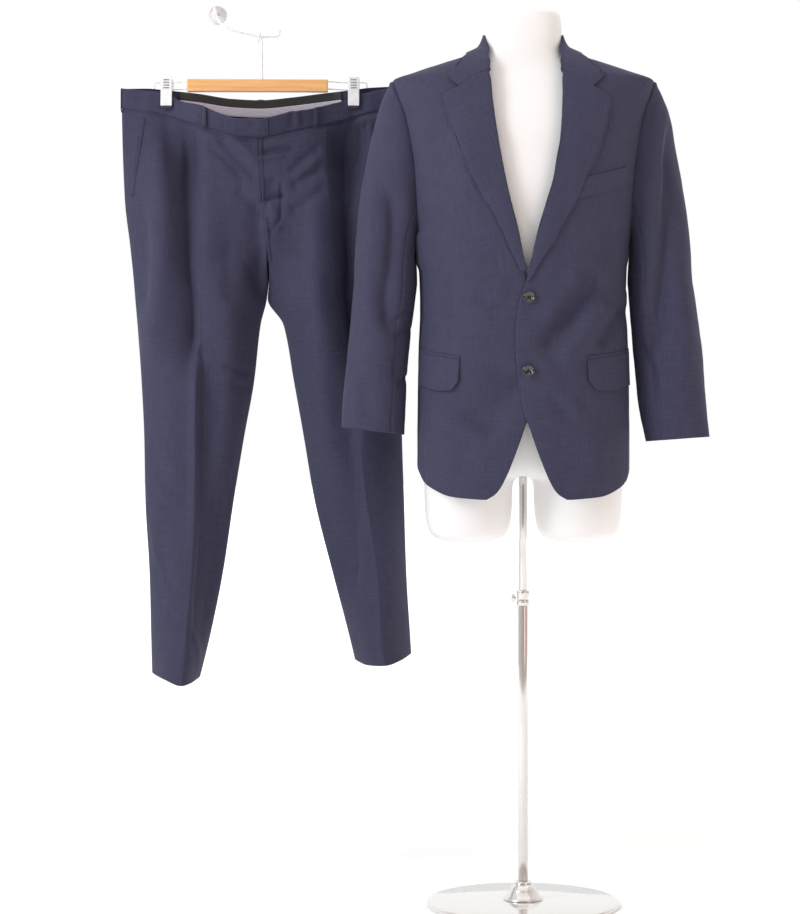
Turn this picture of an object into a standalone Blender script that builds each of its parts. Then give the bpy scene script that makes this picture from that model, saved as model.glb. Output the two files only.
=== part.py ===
"""Two-piece suit: the jacket on a dress form and stand, the trousers on a clip hanger.

Metres, +Z up.  The origin is on the floor under the stand's pole, the front faces -Y, and the
wearer's left is +X.  Each cut piece of cloth is a sheet bent over a named surface and given a
wall by Solidify, so the form, the sleeves and the trousers' legs stay hollow.
"""

import math

import bmesh
import bpy
from mathutils import Vector

WALL = 0.002              # cloth with its interlining
THIN_WALL = 0.0016        # narrow edges and jets
SEAM = 0.0007             # half of the gap that two sewn edges keep
LAYER = 0.0036            # between the middles of two cloth layers that lie on each other
LOOP_LIFT = 0.0054        # between the middles of a belt loop and its waistband
LOOP_HALF = 0.0048        # half of a belt loop's width
LOOP_LOW = -0.06          # its ends, as shares of the waistband's height
LOOP_HIGH = 1.03
OVERLAP = 0.0030          # how far the left front's edge rides over the right front

SHOULDER_TIP_Z = 1.4043   # where the shoulder seam meets the armhole
NECK_POINT_Z = 1.4610     # where the shoulder seam meets the collar
UNDERARM_Z = 1.1350       # lowest point of the armhole
COLLAR_TOP_Z = 1.4930     # roll of the collar at the back of the neck
SUPERELLIPSE = 0.80       # roundness of the jacket's level sections, 1 is an ellipse
ARM_FRONT_SPREAD = 19.0   # degrees that the armhole reaches forward of the side
ARM_BACK_SPREAD = 22.0    # degrees that it reaches behind it
ARM_FRONT_SEAM = 141.0    # where the front side seam ends, in degrees round the armhole
ARM_BACK_SEAM = 219.0     # where the back side seam ends

HANG_Y = 0.16             # the plane in which the trousers hang
CROTCH_Z = 1.046
BAND_LOW = 0.05           # where the waistband's lower edge starts, as a share of its height
GORGE_GAP = 0.0012        # between the collar's ends and the lapels, each side
POLE_TOP_Z = 0.7320
CLAMP_Z = 0.5270
OUTER_POLE = 0.0085
INNER_POLE = 0.0068

NAVY = (0.050, 0.052, 0.085, 1.0)

# Level sections of the jacket, from the hem to the collar's roll
Z, HALF, FRONT, BACK = range(4)
JACKET = (
    # height, half width, front depth, back depth
    (0.680, 0.1770, 0.126, 0.120),
    (0.760, 0.1800, 0.130, 0.122),
    (0.850, 0.1795, 0.131, 0.120),
    (0.940, 0.1780, 0.130, 0.115),
    (1.020, 0.1755, 0.128, 0.111),
    (1.100, 0.1780, 0.133, 0.116),
    (1.190, 0.1880, 0.140, 0.124),
    (1.280, 0.1980, 0.136, 0.128),
    (1.340, 0.2080, 0.121, 0.124),
    (1.385, 0.2195, 0.101, 0.113),
    (1.4043, 0.2225, 0.090, 0.105),
    (1.4180, 0.1880, 0.082, 0.097),
    (1.4330, 0.1430, 0.072, 0.088),
    (1.4480, 0.0985, 0.061, 0.079),
    (1.4600, 0.0755, 0.055, 0.075),
    (1.4710, 0.0700, 0.052, 0.073),
    (1.4840, 0.0675, 0.050, 0.072),
    (1.4960, 0.0650, 0.049, 0.071),
)

# Hem height round the jacket
TURN, HEM_Z = range(2)
JACKET_HEM = ((20, 0.6944), (40, 0.6992), (56, 0.7112), (68, 0.7220), (80, 0.7400), (92, 0.7490),
              (113, 0.7480), (145, 0.7410), (180, 0.7380))

# Edges of the front as (x, z), x towards the wearer's own side
FRONT_EDGE = ((0.0670, 0.6944), (0.052, 0.704), (0.0380, 0.7255), (0.0215, 0.765), (0.0083, 0.8015),
              (-0.0017, 0.828), (-0.0085, 0.857), (-0.0137, 0.888), (-0.0176, 0.925), (-0.0186, 0.970),
              (-0.0163, 1.002), (-0.0096, 1.031), (-0.0025, 1.050))
ROLL_LEFT = ((0.0075, 1.086), (0.0130, 1.112), (0.0193, 1.140), (0.0342, 1.190), (0.0441, 1.223),
             (0.0498, 1.257), (0.0564, 1.293), (0.0594, 1.330), (0.0618, 1.365), (0.0622, 1.390),
             (0.0612, 1.411))
ROLL_RIGHT = ((0.0055, 1.085), (0.0088, 1.100), (0.0154, 1.140), (0.0269, 1.190), (0.0336, 1.223),
              (0.0398, 1.257), (0.0453, 1.293), (0.0512, 1.330), (0.0557, 1.365), (0.0590, 1.390),
              (0.0612, 1.411))
LAPEL_LEFT = ((0.0054, 1.061), (0.0233, 1.090), (0.0414, 1.115), (0.0667, 1.160), (0.0847, 1.192),
              (0.0989, 1.228), (0.1117, 1.253), (0.1244, 1.290), (0.1352, 1.329), (0.1430, 1.3623))
LAPEL_RIGHT = ((0.0090, 1.0715), (0.0180, 1.087), (0.0400, 1.135), (0.0631, 1.178), (0.0849, 1.217),
               (0.1029, 1.257), (0.1192, 1.297), (0.1318, 1.333), (0.1408, 1.3653))
NOTCH = (0.1098, 1.3820)
COLLAR_TIP = (0.1272, 1.3985)

# Sleeve sections below the cap, by height; side is the centre's distance from the middle
SIDE, SLEEVE_Y, ACROSS, DEEP = range(1, 5)
SLEEVE_LEFT = (
    # height, side, centre y, half width, half depth
    (0.785, 0.2625, -0.030, 0.0535, 0.0360),
    (0.850, 0.2525, -0.026, 0.0565, 0.0480),
    (0.940, 0.2455, -0.018, 0.0580, 0.0580),
    (1.060, 0.2360, -0.006, 0.0510, 0.0680),
)
SLEEVE_RIGHT = (
    (0.785, 0.2570, -0.030, 0.0530, 0.0360),
    (0.850, 0.2545, -0.026, 0.0530, 0.0480),
    (0.940, 0.2475, -0.018, 0.0515, 0.0580),
    (1.060, 0.2365, -0.006, 0.0510, 0.0680),
)
CUFF_LEFT = (0.7920, 0.8000)     # inner and outer ends of the cuff's edge
CUFF_RIGHT = (0.8035, 0.8160)
FOREARM_SEAM = 126.0             # round the sleeve from its outer side, over the front
HINDARM_SEAM = -120.0

# The waist as it hangs from the two clips: front top edge, its seam, and how far each opens
WAIST_X, TOP_Z, SEAM_Z, OPEN_TOP, OPEN_SEAM = range(5)
WAIST_FRONT = (
    (-0.7040, 1.4190, 1.3850, 0.0040, 0.0040), (-0.6600, 1.4150, 1.3800, 0.0065, 0.0090),
    (-0.6250, 1.4120, 1.3725, 0.0040, 0.0050), (-0.6010, 1.3960, 1.3650, 0.0110, 0.0140),
    (-0.5660, 1.3862, 1.3525, 0.0300, 0.0240), (-0.5270, 1.3675, 1.3400, 0.0480, 0.0310),
    (-0.4950, 1.3574, 1.3315, 0.0535, 0.0340), (-0.4580, 1.3560, 1.3292, 0.0545, 0.0345),
    (-0.4310, 1.3624, 1.3340, 0.0530, 0.0335), (-0.4040, 1.3700, 1.3405, 0.0490, 0.0310),
    (-0.3730, 1.3765, 1.3480, 0.0360, 0.0270), (-0.3320, 1.3895, 1.3580, 0.0170, 0.0170),
    (-0.3048, 1.3985, 1.3650, 0.0070, 0.0090), (-0.2925, 1.4060, 1.3700, 0.0040, 0.0050),
    (-0.2640, 1.4120, 1.3770, 0.0060, 0.0090), (-0.2156, 1.4235, 1.3865, 0.0040, 0.0040),
)
WAIST_BACK = (
    (-0.7040, 1.4190, 1.3850, 0.0040, 0.0040),
    (-0.6600, 1.4200, 1.3820, 0.0060, 0.0090),
    (-0.6250, 1.4165, 1.3785, 0.0040, 0.0080),
    (-0.5700, 1.4120, 1.3740, 0.0120, 0.0200),
    (-0.5100, 1.4040, 1.3660, 0.0190, 0.0290),
    (-0.4590, 1.4020, 1.3640, 0.0210, 0.0320),
    (-0.4030, 1.4065, 1.3685, 0.0180, 0.0290),
    (-0.3400, 1.4130, 1.3750, 0.0090, 0.0190),
    (-0.2925, 1.4175, 1.3795, 0.0040, 0.0080),
    (-0.2640, 1.4215, 1.3835, 0.0060, 0.0090),
    (-0.2156, 1.4235, 1.3865, 0.0040, 0.0040),
)

# The legs by height: x of the outer edge, the pressed crease and the inner edge, then how far the
# front and the back stand off the hanging plane at the crease and at the middle seam
OUTER, CREASE, INNER, FRONT_BULGE, BACK_BULGE, FRONT_MIDDLE, BACK_MIDDLE = range(1, 8)
LEG_RIGHT = (
    (0.360, -0.6500, -0.5920, -0.5700, 0.082, 0.082, 0.000, 0.000),
    (0.450, -0.6525, -0.5840, -0.5478, 0.075, 0.076, 0.000, 0.000),
    (0.560, -0.6556, -0.5750, -0.5252, 0.064, 0.066, 0.000, 0.000),
    (0.690, -0.6630, -0.5700, -0.5056, 0.059, 0.062, 0.000, 0.000),
    (0.800, -0.6650, -0.5700, -0.4875, 0.062, 0.066, 0.000, 0.000),
    (0.900, -0.6698, -0.5680, -0.4695, 0.072, 0.078, 0.000, 0.000),
    (1.000, -0.6770, -0.5665, -0.4580, 0.080, 0.090, 0.000, 0.000),
    (1.046, -0.6810, -0.5665, -0.4470, 0.082, 0.096, 0.000, 0.000),
    (1.080, -0.6838, -0.5665, -0.4438, 0.080, 0.096, 0.026, 0.048),
    (1.140, -0.6900, -0.5670, -0.4458, 0.074, 0.092, 0.048, 0.078),
    (1.220, -0.6993, -0.5690, -0.4532, 0.062, 0.080, 0.056, 0.082),
    (1.300, -0.7023, -0.5710, -0.4590, 0.044, 0.056, 0.050, 0.062),
    (1.385, -0.7040, -0.5750, -0.4620, 0.028, 0.032, 0.036, 0.036),
)
LEG_LEFT = (
    (0.380, -0.1880, -0.2340, -0.2840, 0.078, 0.080, 0.000, 0.000),
    (0.450, -0.1925, -0.2420, -0.3010, 0.074, 0.076, 0.000, 0.000),
    (0.560, -0.1990, -0.2500, -0.3300, 0.066, 0.068, 0.000, 0.000),
    (0.690, -0.2031, -0.2695, -0.3624, 0.060, 0.062, 0.000, 0.000),
    (0.800, -0.2066, -0.2837, -0.3812, 0.062, 0.066, 0.000, 0.000),
    (0.900, -0.2080, -0.2960, -0.3990, 0.070, 0.078, 0.000, 0.000),
    (1.000, -0.2100, -0.3120, -0.4175, 0.078, 0.090, 0.000, 0.000),
    (1.046, -0.2110, -0.3220, -0.4455, 0.080, 0.096, 0.000, 0.000),
    (1.080, -0.2115, -0.3260, -0.4430, 0.078, 0.096, 0.026, 0.048),
    (1.140, -0.2125, -0.3310, -0.4450, 0.072, 0.092, 0.048, 0.078),
    (1.220, -0.2135, -0.3350, -0.4524, 0.060, 0.080, 0.056, 0.082),
    (1.300, -0.2145, -0.3390, -0.4582, 0.044, 0.056, 0.050, 0.062),
    (1.385, -0.2156, -0.3430, -0.4612, 0.028, 0.032, 0.036, 0.036),
)
# Hem heights across a leg's front, from the outer edge to the inner one
SHARE, LEG_HEM_Z = range(2)
HEM_RIGHT = ((0.0, 0.3830), (0.25, 0.3745), (0.5, 0.3660), (0.8, 0.3690), (1.0, 0.3750))
HEM_LEFT = ((0.0, 0.4170), (0.2, 0.4085), (0.5, 0.4010), (0.8, 0.4000), (1.0, 0.4060))

# The dress form's torso
FORM = (
    # height, half width, front depth, back depth
    (0.7325, 0.1300, 0.075, 0.085),
    (0.7500, 0.1560, 0.092, 0.098),
    (0.8000, 0.1660, 0.105, 0.108),
    (0.8800, 0.1660, 0.112, 0.108),
    (0.9600, 0.1560, 0.112, 0.100),
    (1.0300, 0.1510, 0.110, 0.096),
    (1.1200, 0.1600, 0.117, 0.102),
    (1.2200, 0.1720, 0.124, 0.109),
    (1.3000, 0.1780, 0.118, 0.110),
    (1.3450, 0.1790, 0.103, 0.104),
    (1.3750, 0.1760, 0.087, 0.096),
    (1.3950, 0.1660, 0.077, 0.089),
    (1.4110, 0.1420, 0.067, 0.080),
    (1.4250, 0.1120, 0.060, 0.071),
    (1.4380, 0.0860, 0.055, 0.064),
    (1.4540, 0.0680, 0.052, 0.060),
    (1.4750, 0.0640, 0.050, 0.058),
    (1.5150, 0.0635, 0.050, 0.057),
    (1.5250, 0.0595, 0.046, 0.053),
)
THIGH_X = 0.0935
THIGH = (
    # height, half width, front depth, back depth
    (0.6190, 0.0300, 0.036, 0.038),
    (0.6220, 0.0480, 0.056, 0.058),
    (0.6320, 0.0640, 0.074, 0.076),
    (0.6520, 0.0720, 0.083, 0.085),
    (0.6900, 0.0755, 0.088, 0.091),
    (0.7500, 0.0760, 0.091, 0.096),
    (0.8100, 0.0640, 0.085, 0.090),
)


def read(table, place, column):
    """Smooth value of a table's column where its first column is at place."""
    last = len(table) - 1
    place = min(max(place, table[0][0]), table[last][0])
    row = 0
    while row < last - 1 and place > table[row + 1][0]:
        row += 1

    def rise(start):
        return (table[start + 1][column] - table[start][column]) / (table[start + 1][0] - table[start][0])

    def slope(at):
        if at == 0:
            return rise(0)
        if at == last:
            return rise(last - 1)
        before, after = rise(at - 1), rise(at)
        return 2 * before * after / (before + after) if before * after > 0 else 0.0

    span = table[row + 1][0] - table[row][0]
    t = (place - table[row][0]) / span
    return (
        (2 * t ** 3 - 3 * t ** 2 + 1) * table[row][column]
        + (t ** 3 - 2 * t ** 2 + t) * span * slope(row)
        + (3 * t ** 2 - 2 * t ** 3) * table[row + 1][column]
        + (t ** 3 - t ** 2) * span * slope(row + 1)
    )


def smooth(value):
    """Ease from 0 to 1, flat outside."""
    value = min(max(value, 0.0), 1.0)
    return value * value * (3 - 2 * value)


def path(points, scale=0.003):
    """A smooth way through (turn, z) points, as a function of its share from 0 to 1."""
    rows = [(0.0,) + tuple(points[0])]
    for point in points[1:]:
        step = math.hypot((point[0] - rows[-1][1]) * scale, point[1] - rows[-1][2])
        rows.append((rows[-1][0] + step,) + tuple(point))
    length = rows[-1][0]
    return lambda share: (read(rows, share * length, 1), read(rows, share * length, 2))


def joined(first, second, share):
    """Two ways as one, the first of them taking up the given share."""
    return lambda t: first(t / share) if t < share else second((t - share) / (1 - share))


def patch(left, right, bottom, top):
    """A four-sided patch between edges that meet at its corners."""
    def place(u, v):
        spot = []
        for k in range(2):
            ruled = (1 - u) * left(v)[k] + u * right(v)[k] + (1 - v) * bottom(u)[k] + v * top(u)[k]
            corners = ((1 - u) * (1 - v) * bottom(0)[k] + u * (1 - v) * bottom(1)[k]
                       + (1 - u) * v * top(0)[k] + u * v * top(1)[k])
            spot.append(ruled - corners)
        return spot
    return place


def bowed(value, power):
    return math.copysign(abs(value) ** power, value)


def section(table, turn, z, power):
    """Point of a level section, turn in degrees from the front towards the wearer's left."""
    angle = math.radians(turn)
    depth = read(table, z, FRONT if math.cos(angle) > 0 else BACK)
    return Vector((
        read(table, z, HALF) * bowed(math.sin(angle), power),
        -depth * bowed(math.cos(angle), power),
        z,
    ))


def jacket(turn, z, out=0.0):
    """Point of the jacket's body, moved out of its surface."""
    point = section(JACKET, turn, z, SUPERELLIPSE)
    if out:
        side = section(JACKET, turn + 1, z, SUPERELLIPSE) - section(JACKET, turn - 1, z, SUPERELLIPSE)
        rise = section(JACKET, turn, z + 0.002, SUPERELLIPSE) - section(JACKET, turn, z - 0.002, SUPERELLIPSE)
        point += side.cross(rise).normalized() * out
    return point


def turn_at(x, z):
    """Turn of the front point at x."""
    reach = min(max(x / read(JACKET, z, HALF), -1.0), 1.0)
    return math.degrees(math.asin(bowed(reach, 1 / SUPERELLIPSE)))


def front_path(points):
    return path([(turn_at(x, z), z) for x, z in points])


def armhole(round_degrees):
    """Turn and height of the armhole's edge, round it from the shoulder over the front."""
    angle = math.radians(round_degrees)
    spread = -ARM_FRONT_SPREAD if math.sin(angle) > 0 else ARM_BACK_SPREAD
    middle = (SHOULDER_TIP_Z + UNDERARM_Z) / 2
    return (90 + spread * abs(math.sin(angle)) ** SUPERELLIPSE,
            middle + (SHOULDER_TIP_Z - UNDERARM_Z) / 2 * math.cos(angle))


def material(name, colour, roughness, metallic=0.0):
    found = bpy.data.materials.get(name) or bpy.data.materials.new(name)
    found.use_nodes = True
    shader = found.node_tree.nodes["Principled BSDF"]
    shader.inputs["Base Color"].default_value = colour
    shader.inputs["Roughness"].default_value = roughness
    shader.inputs["Metallic"].default_value = metallic
    found.diffuse_color = colour
    return found


def add(name, mesh, finish):
    thing = bpy.data.objects.new(name, mesh)
    bpy.data.collections["two_piece_suit"].objects.link(thing)
    thing.data.materials.append(finish)
    return thing


def sheet(name, place, across, up, finish, wall=WALL):
    """A piece of cloth: a flat grid moved to place(u, v), then given its wall."""
    mesh = bpy.data.meshes.new(name)
    grid = bmesh.new()
    bmesh.ops.create_grid(grid, x_segments=across, y_segments=up, size=0.5)
    for vert in grid.verts:
        vert.co = place(vert.co.x + 0.5, vert.co.y + 0.5)
    grid.to_mesh(mesh)
    grid.free()
    cloth = add(name, mesh, finish)
    cloth.data.shade_smooth()
    solid = cloth.modifiers.new("wall", "SOLIDIFY")
    solid.thickness = wall
    solid.offset = 0
    return cloth


def inset(place, left=SEAM, right=SEAM, bottom=0.0, top=0.0):
    """The same sheet with its edges drawn in, so that sewn neighbours keep a gap."""
    def drawn(u, v):
        point = place(u, v)
        step = 0.02
        if u == 0 or u == 1:
            toward = place(step if u == 0 else 1 - step, v) - point
            point += toward.normalized() * (left if u == 0 else right)
        if v == 0 or v == 1:
            toward = place(u, step if v == 0 else 1 - step) - place(u, v)
            point += toward.normalized() * (bottom if v == 0 else top)
        return point
    return lambda u, v: drawn(round(u, 6), round(v, 6))


def sided(place, side):
    """A sheet drawn for the wearer's left; side -1 gives its mirror, with its faces still out."""
    if side > 0:
        return place
    return lambda u, v: place(1 - u, v)


def over_edge(x, side):
    """How far the left front stands off near the closing, where it lies over the right one."""
    return OVERLAP * (1 - smooth((x - 0.030) / 0.035)) if side > 0 else 0.0


def on_front(spot, side, out):
    """A (turn, z) spot of one front, as a point that far out of it."""
    turn, z = spot
    x = section(JACKET, turn, z, SUPERELLIPSE).x
    return jacket(side * turn, z, out + over_edge(x, side))


def hem_spot(turn):
    return turn, read(JACKET_HEM, turn, HEM_Z)


def jacket_body(navy):
    side_front = path([hem_spot(68), (70, 0.85), (71, 1.00), (74, 1.12), armhole(ARM_FRONT_SEAM)])
    side_back = path([hem_spot(113), (113, 0.85), (112, 1.00), (109, 1.12), armhole(ARM_BACK_SEAM)])
    front_turn = turn_at(*FRONT_EDGE[0])
    for side, label, roll in ((1, "left", ROLL_LEFT), (-1, "right", ROLL_RIGHT)):
        neck = ((0.0640, 1.4270), (0.0690, 1.4450), (0.0770, 1.4570))
        inner = [(turn_at(x, z), z) for x, z in FRONT_EDGE + roll + neck] + [(90, NECK_POINT_Z)]
        shoulder = path([(90, NECK_POINT_Z), (90, SHOULDER_TIP_Z)])
        front = patch(
            path(inner),
            joined(side_front, lambda t: armhole(ARM_FRONT_SEAM * (1 - t)), 11 / 18),
            lambda u: hem_spot(front_turn + (68 - front_turn) * u),
            shoulder,
        )
        sheet("jacket_front_" + label, sided(inset(
            lambda u, v, front=front, side=side: on_front(front(u, v), side, 0.0), left=0.0, top=SEAM,
        ), side), 8, 18, navy)

        flank = patch(
            side_front, side_back,
            lambda u: hem_spot(68 + 45 * u),
            lambda u: armhole(ARM_FRONT_SEAM + (ARM_BACK_SEAM - ARM_FRONT_SEAM) * u),
        )
        sheet("jacket_side_" + label, sided(inset(
            lambda u, v, flank=flank, side=side: jacket(side * flank(u, v)[0], flank(u, v)[1]),
        ), side), 4, 11, navy)

        middle = path([(180, 0.738), (180, 0.95), (180, 1.20), (180, 1.4490)])
        neckline = path([(180, 1.4490), (145, 1.4510), (115, 1.4570), (90, NECK_POINT_Z)])
        back = patch(
            joined(side_back, lambda t: armhole(ARM_BACK_SEAM + (360 - ARM_BACK_SEAM) * t), 11 / 18),
            joined(middle, neckline, 15 / 18),
            lambda u: hem_spot(113 + 67 * u),
            path([(90, SHOULDER_TIP_Z), (90, NECK_POINT_Z)]),
        )
        sheet("jacket_back_" + label, sided(inset(
            lambda u, v, back=back, side=side: jacket(side * back(u, v)[0], back(u, v)[1]), top=SEAM,
        ), side), 7, 18, navy)


def jacket_collar(navy):
    for side, label, foot, roll, outer in (
        (1, "left", (-0.0010, 1.0550), ROLL_LEFT, LAPEL_LEFT),
        (-1, "right", (0.0020, 1.0740), ROLL_RIGHT, LAPEL_RIGHT),
    ):
        gorge_start = roll[-1]
        lapel = patch(
            front_path((foot,) + roll),
            front_path(outer),
            front_path((foot, outer[0])),
            joined(front_path((gorge_start, NOTCH)), front_path((NOTCH, outer[-1])), 0.6),
        )
        sheet("lapel_" + label, sided(inset(
            lambda u, v, lapel=lapel, side=side: on_front(lapel(u, v), side, LAYER), 0.0, 0.0, top=GORGE_GAP,
        ), side), 5, 11, navy)

    fall = patch(
        joined(front_path((COLLAR_TIP, NOTCH)), front_path((NOTCH, ROLL_LEFT[-1])), 0.25),
        path([(180, 1.4330), (180, COLLAR_TOP_Z)]),
        path([(turn_at(x, z), z) for x, z in (COLLAR_TIP, (0.1170, 1.4170), (0.1060, 1.4320), (0.0960, 1.4440))]
             + [(95, 1.4500), (115, 1.4450), (145, 1.4370), (180, 1.4330)]),
        path([(turn_at(x, z), z)
              for x, z in (ROLL_LEFT[-1], (0.0608, 1.4290), (0.0630, 1.4500), (0.0645, 1.4660))]
             + [(90, 1.4840), (130, 1.4900), (180, COLLAR_TOP_Z)]),
    )

    def fall_point(u, v):
        turn, z = fall(1 - abs(2 * u - 1), v)
        crown = 0.0016 * math.sin(math.pi * v) * (1 - abs(2 * u - 1) ** 4)
        return jacket(turn if u < 0.5 else -turn, z, LAYER + 0.0008 + crown)

    sheet("collar_fall", inset(fall_point, GORGE_GAP, GORGE_GAP), 22, 4, navy)

    base = path([(60, 1.4605), (90, 1.4632), (115, 1.4592), (145, 1.4532), (180, 1.4512)])
    crest = path([(60, 1.4665), (90, 1.4810), (130, 1.4870), (180, 1.4900)])

    def stand_point(u, v):
        share = 1 - abs(2 * u - 1)
        low_turn, low_z = base(share)
        high_turn, high_z = crest(share)
        turn = low_turn + (high_turn - low_turn) * v
        return jacket(turn if u < 0.5 else -turn, low_z + (high_z - low_z) * v, -0.0008)

    sheet("collar_stand", stand_point, 16, 1, navy)


def front_strip(name, corners, finish, side, out, across, up):
    """A small piece on a front, its corners given as lower inner and outer, then upper inner and outer."""
    spots = [(turn_at(x, z), z) for x, z in corners]

    def place(u, v):
        spot = []
        for k in range(2):
            low = spots[0][k] + (spots[1][k] - spots[0][k]) * u
            high = spots[2][k] + (spots[3][k] - spots[2][k]) * u
            spot.append(low + (high - low) * v)
        return on_front(spot, side, out)

    sheet(name, sided(place, side), across, up, finish, THIN_WALL)


def jacket_details(navy, button_black):
    for side, label in ((1, "left"), (-1, "right")):
        inner = 0.1005 if side > 0 else 0.1110
        jet = ((inner, 0.9270), (0.1755, 0.9440), (inner, 0.9320), (0.1757, 0.9490))
        first = float(turn_at(inner, 0.9265))
        front_strip("pocket_jet_" + label, jet, navy, side, LAYER, 5, 1)

        def flap(u, v, side=side, first=first):
            turn = first + (78 - first) * u
            top = 0.9265 + 0.0165 * u
            low = 0.8760 + 0.0110 * smooth((u - 0.25) / 0.75) + 0.0140 * (1 - smooth(u / 0.16)) ** 2
            return jacket(side * (turn + 0.8 * (1 - v) * (1 - u)), low + (top - low) * v, LAYER)

        sheet("pocket_flap_" + label, sided(flap, side), 7, 2, navy)
    front_strip("breast_welt", ((0.0990, 1.1950), (0.1650, 1.2150), (0.1020, 1.2320), (0.1667, 1.2515)),
                navy, 1, LAYER, 4, 1)
    for label, x, z in (("upper", 0.0036, 1.0295), ("lower", 0.0020, 0.9073)):
        mesh = bpy.data.meshes.new("button")
        disc = bmesh.new()
        bmesh.ops.create_cone(disc, cap_ends=True, segments=24, radius1=0.0102, radius2=0.0092, depth=0.0032)
        disc.to_mesh(mesh)
        disc.free()
        seat = on_front((turn_at(x, z), z), 1, LAYER)
        button = add("button_" + label, mesh, button_black)
        button.rotation_euler = (math.radians(90), 0, 0)
        button.location = seat + Vector((0, -0.0016, 0))


def sleeve_point(side, table, cuff, around, v):
    """Point of a sleeve, around it in degrees from its outer side over the front, v from cuff to cap."""
    angle = math.radians(around)
    cap_base = 1.060
    cap_share = 0.42

    def tube(z):
        return Vector((
            side * (read(table, z, SIDE) + read(table, z, ACROSS) * math.cos(angle)),
            read(table, z, SLEEVE_Y) - read(table, z, DEEP) * math.sin(angle),
            z,
        ))

    if v <= 1 - cap_share:
        inner_z, outer_z = cuff
        edge = inner_z + (outer_z - inner_z) * (1 + math.cos(angle)) / 2
        return tube(edge + (cap_base - edge) * v / (1 - cap_share))
    turn, z = armhole(around % 360)
    top = jacket(side * turn, z, 0.0030)
    base = tube(cap_base)
    rise = (base - top).length
    t = (1 - v) / cap_share
    leave = Vector((side * 0.24, -0.16 * math.sin(angle), -0.14)) * rise
    arrive = Vector((0, 0, -1.15)) * rise
    return (
        top * (2 * t ** 3 - 3 * t ** 2 + 1) + leave * (t ** 3 - 2 * t ** 2 + t)
        + base * (3 * t ** 2 - 2 * t ** 3) + arrive * (t ** 3 - t ** 2)
    )


def sleeves(navy):
    for side, label, table, cuff in (
        (1, "left", SLEEVE_LEFT, CUFF_LEFT), (-1, "right", SLEEVE_RIGHT, CUFF_RIGHT),
    ):
        for name, start, end, across in (
            ("sleeve_top_", FOREARM_SEAM, HINDARM_SEAM, 11),
            ("sleeve_under_", 360 + HINDARM_SEAM, FOREARM_SEAM, 5),
        ):
            def place(u, v, start=start, end=end, side=side, table=table, cuff=cuff):
                return sleeve_point(side, table, cuff, start + (end - start) * u, v)
            sheet(name + label, sided(inset(place), side), across, 14, navy)


def leg_share(table, z, share):
    """x across a leg, share from its outer edge through the crease to its inner edge."""
    outer, crease, inner = read(table, z, OUTER), read(table, z, CREASE), read(table, z, INNER)
    if share < 0.5:
        return outer + (crease - outer) * share * 2
    return crease + (inner - crease) * (share - 0.5) * 2


def trouser_point(table, hem, face, share, v):
    """Point of a trouser panel, face -1 for the front and 1 for the back, v from hem to waist seam."""
    waist = WAIST_FRONT if face < 0 else WAIST_BACK
    top_x = leg_share(table, 1.385, share)
    seam_z = read(waist, top_x, SEAM_Z) - 0.0010
    hem_z = read(hem, share, LEG_HEM_Z)
    z = hem_z + (seam_z - hem_z) * v
    x = leg_share(table, z, share)
    bulge = read(table, z, FRONT_BULGE if face < 0 else BACK_BULGE)
    middle = read(table, z, FRONT_MIDDLE if face < 0 else BACK_MIDDLE)
    lens = math.sin(math.pi * min(max(share, 0.0), 1.0)) ** 0.75
    ramp = smooth((share - 0.25) / 0.75)
    stand_off = max(bulge * lens, middle * ramp) if middle == 0 else (
        bulge * lens * (1 - ramp) + max(middle, bulge * lens * ramp) * ramp)
    open_seam = read(waist, x, OPEN_SEAM)
    top_blend = smooth((z - 1.19) / (seam_z - 1.19))
    stand_off += (open_seam - stand_off) * top_blend
    edge = SEAM if share in (0.0, 1.0) and z < CROTCH_Z + 0.004 or share == 0.0 else 0.0
    return Vector((x, HANG_Y + face * (stand_off + edge), z))


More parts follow.
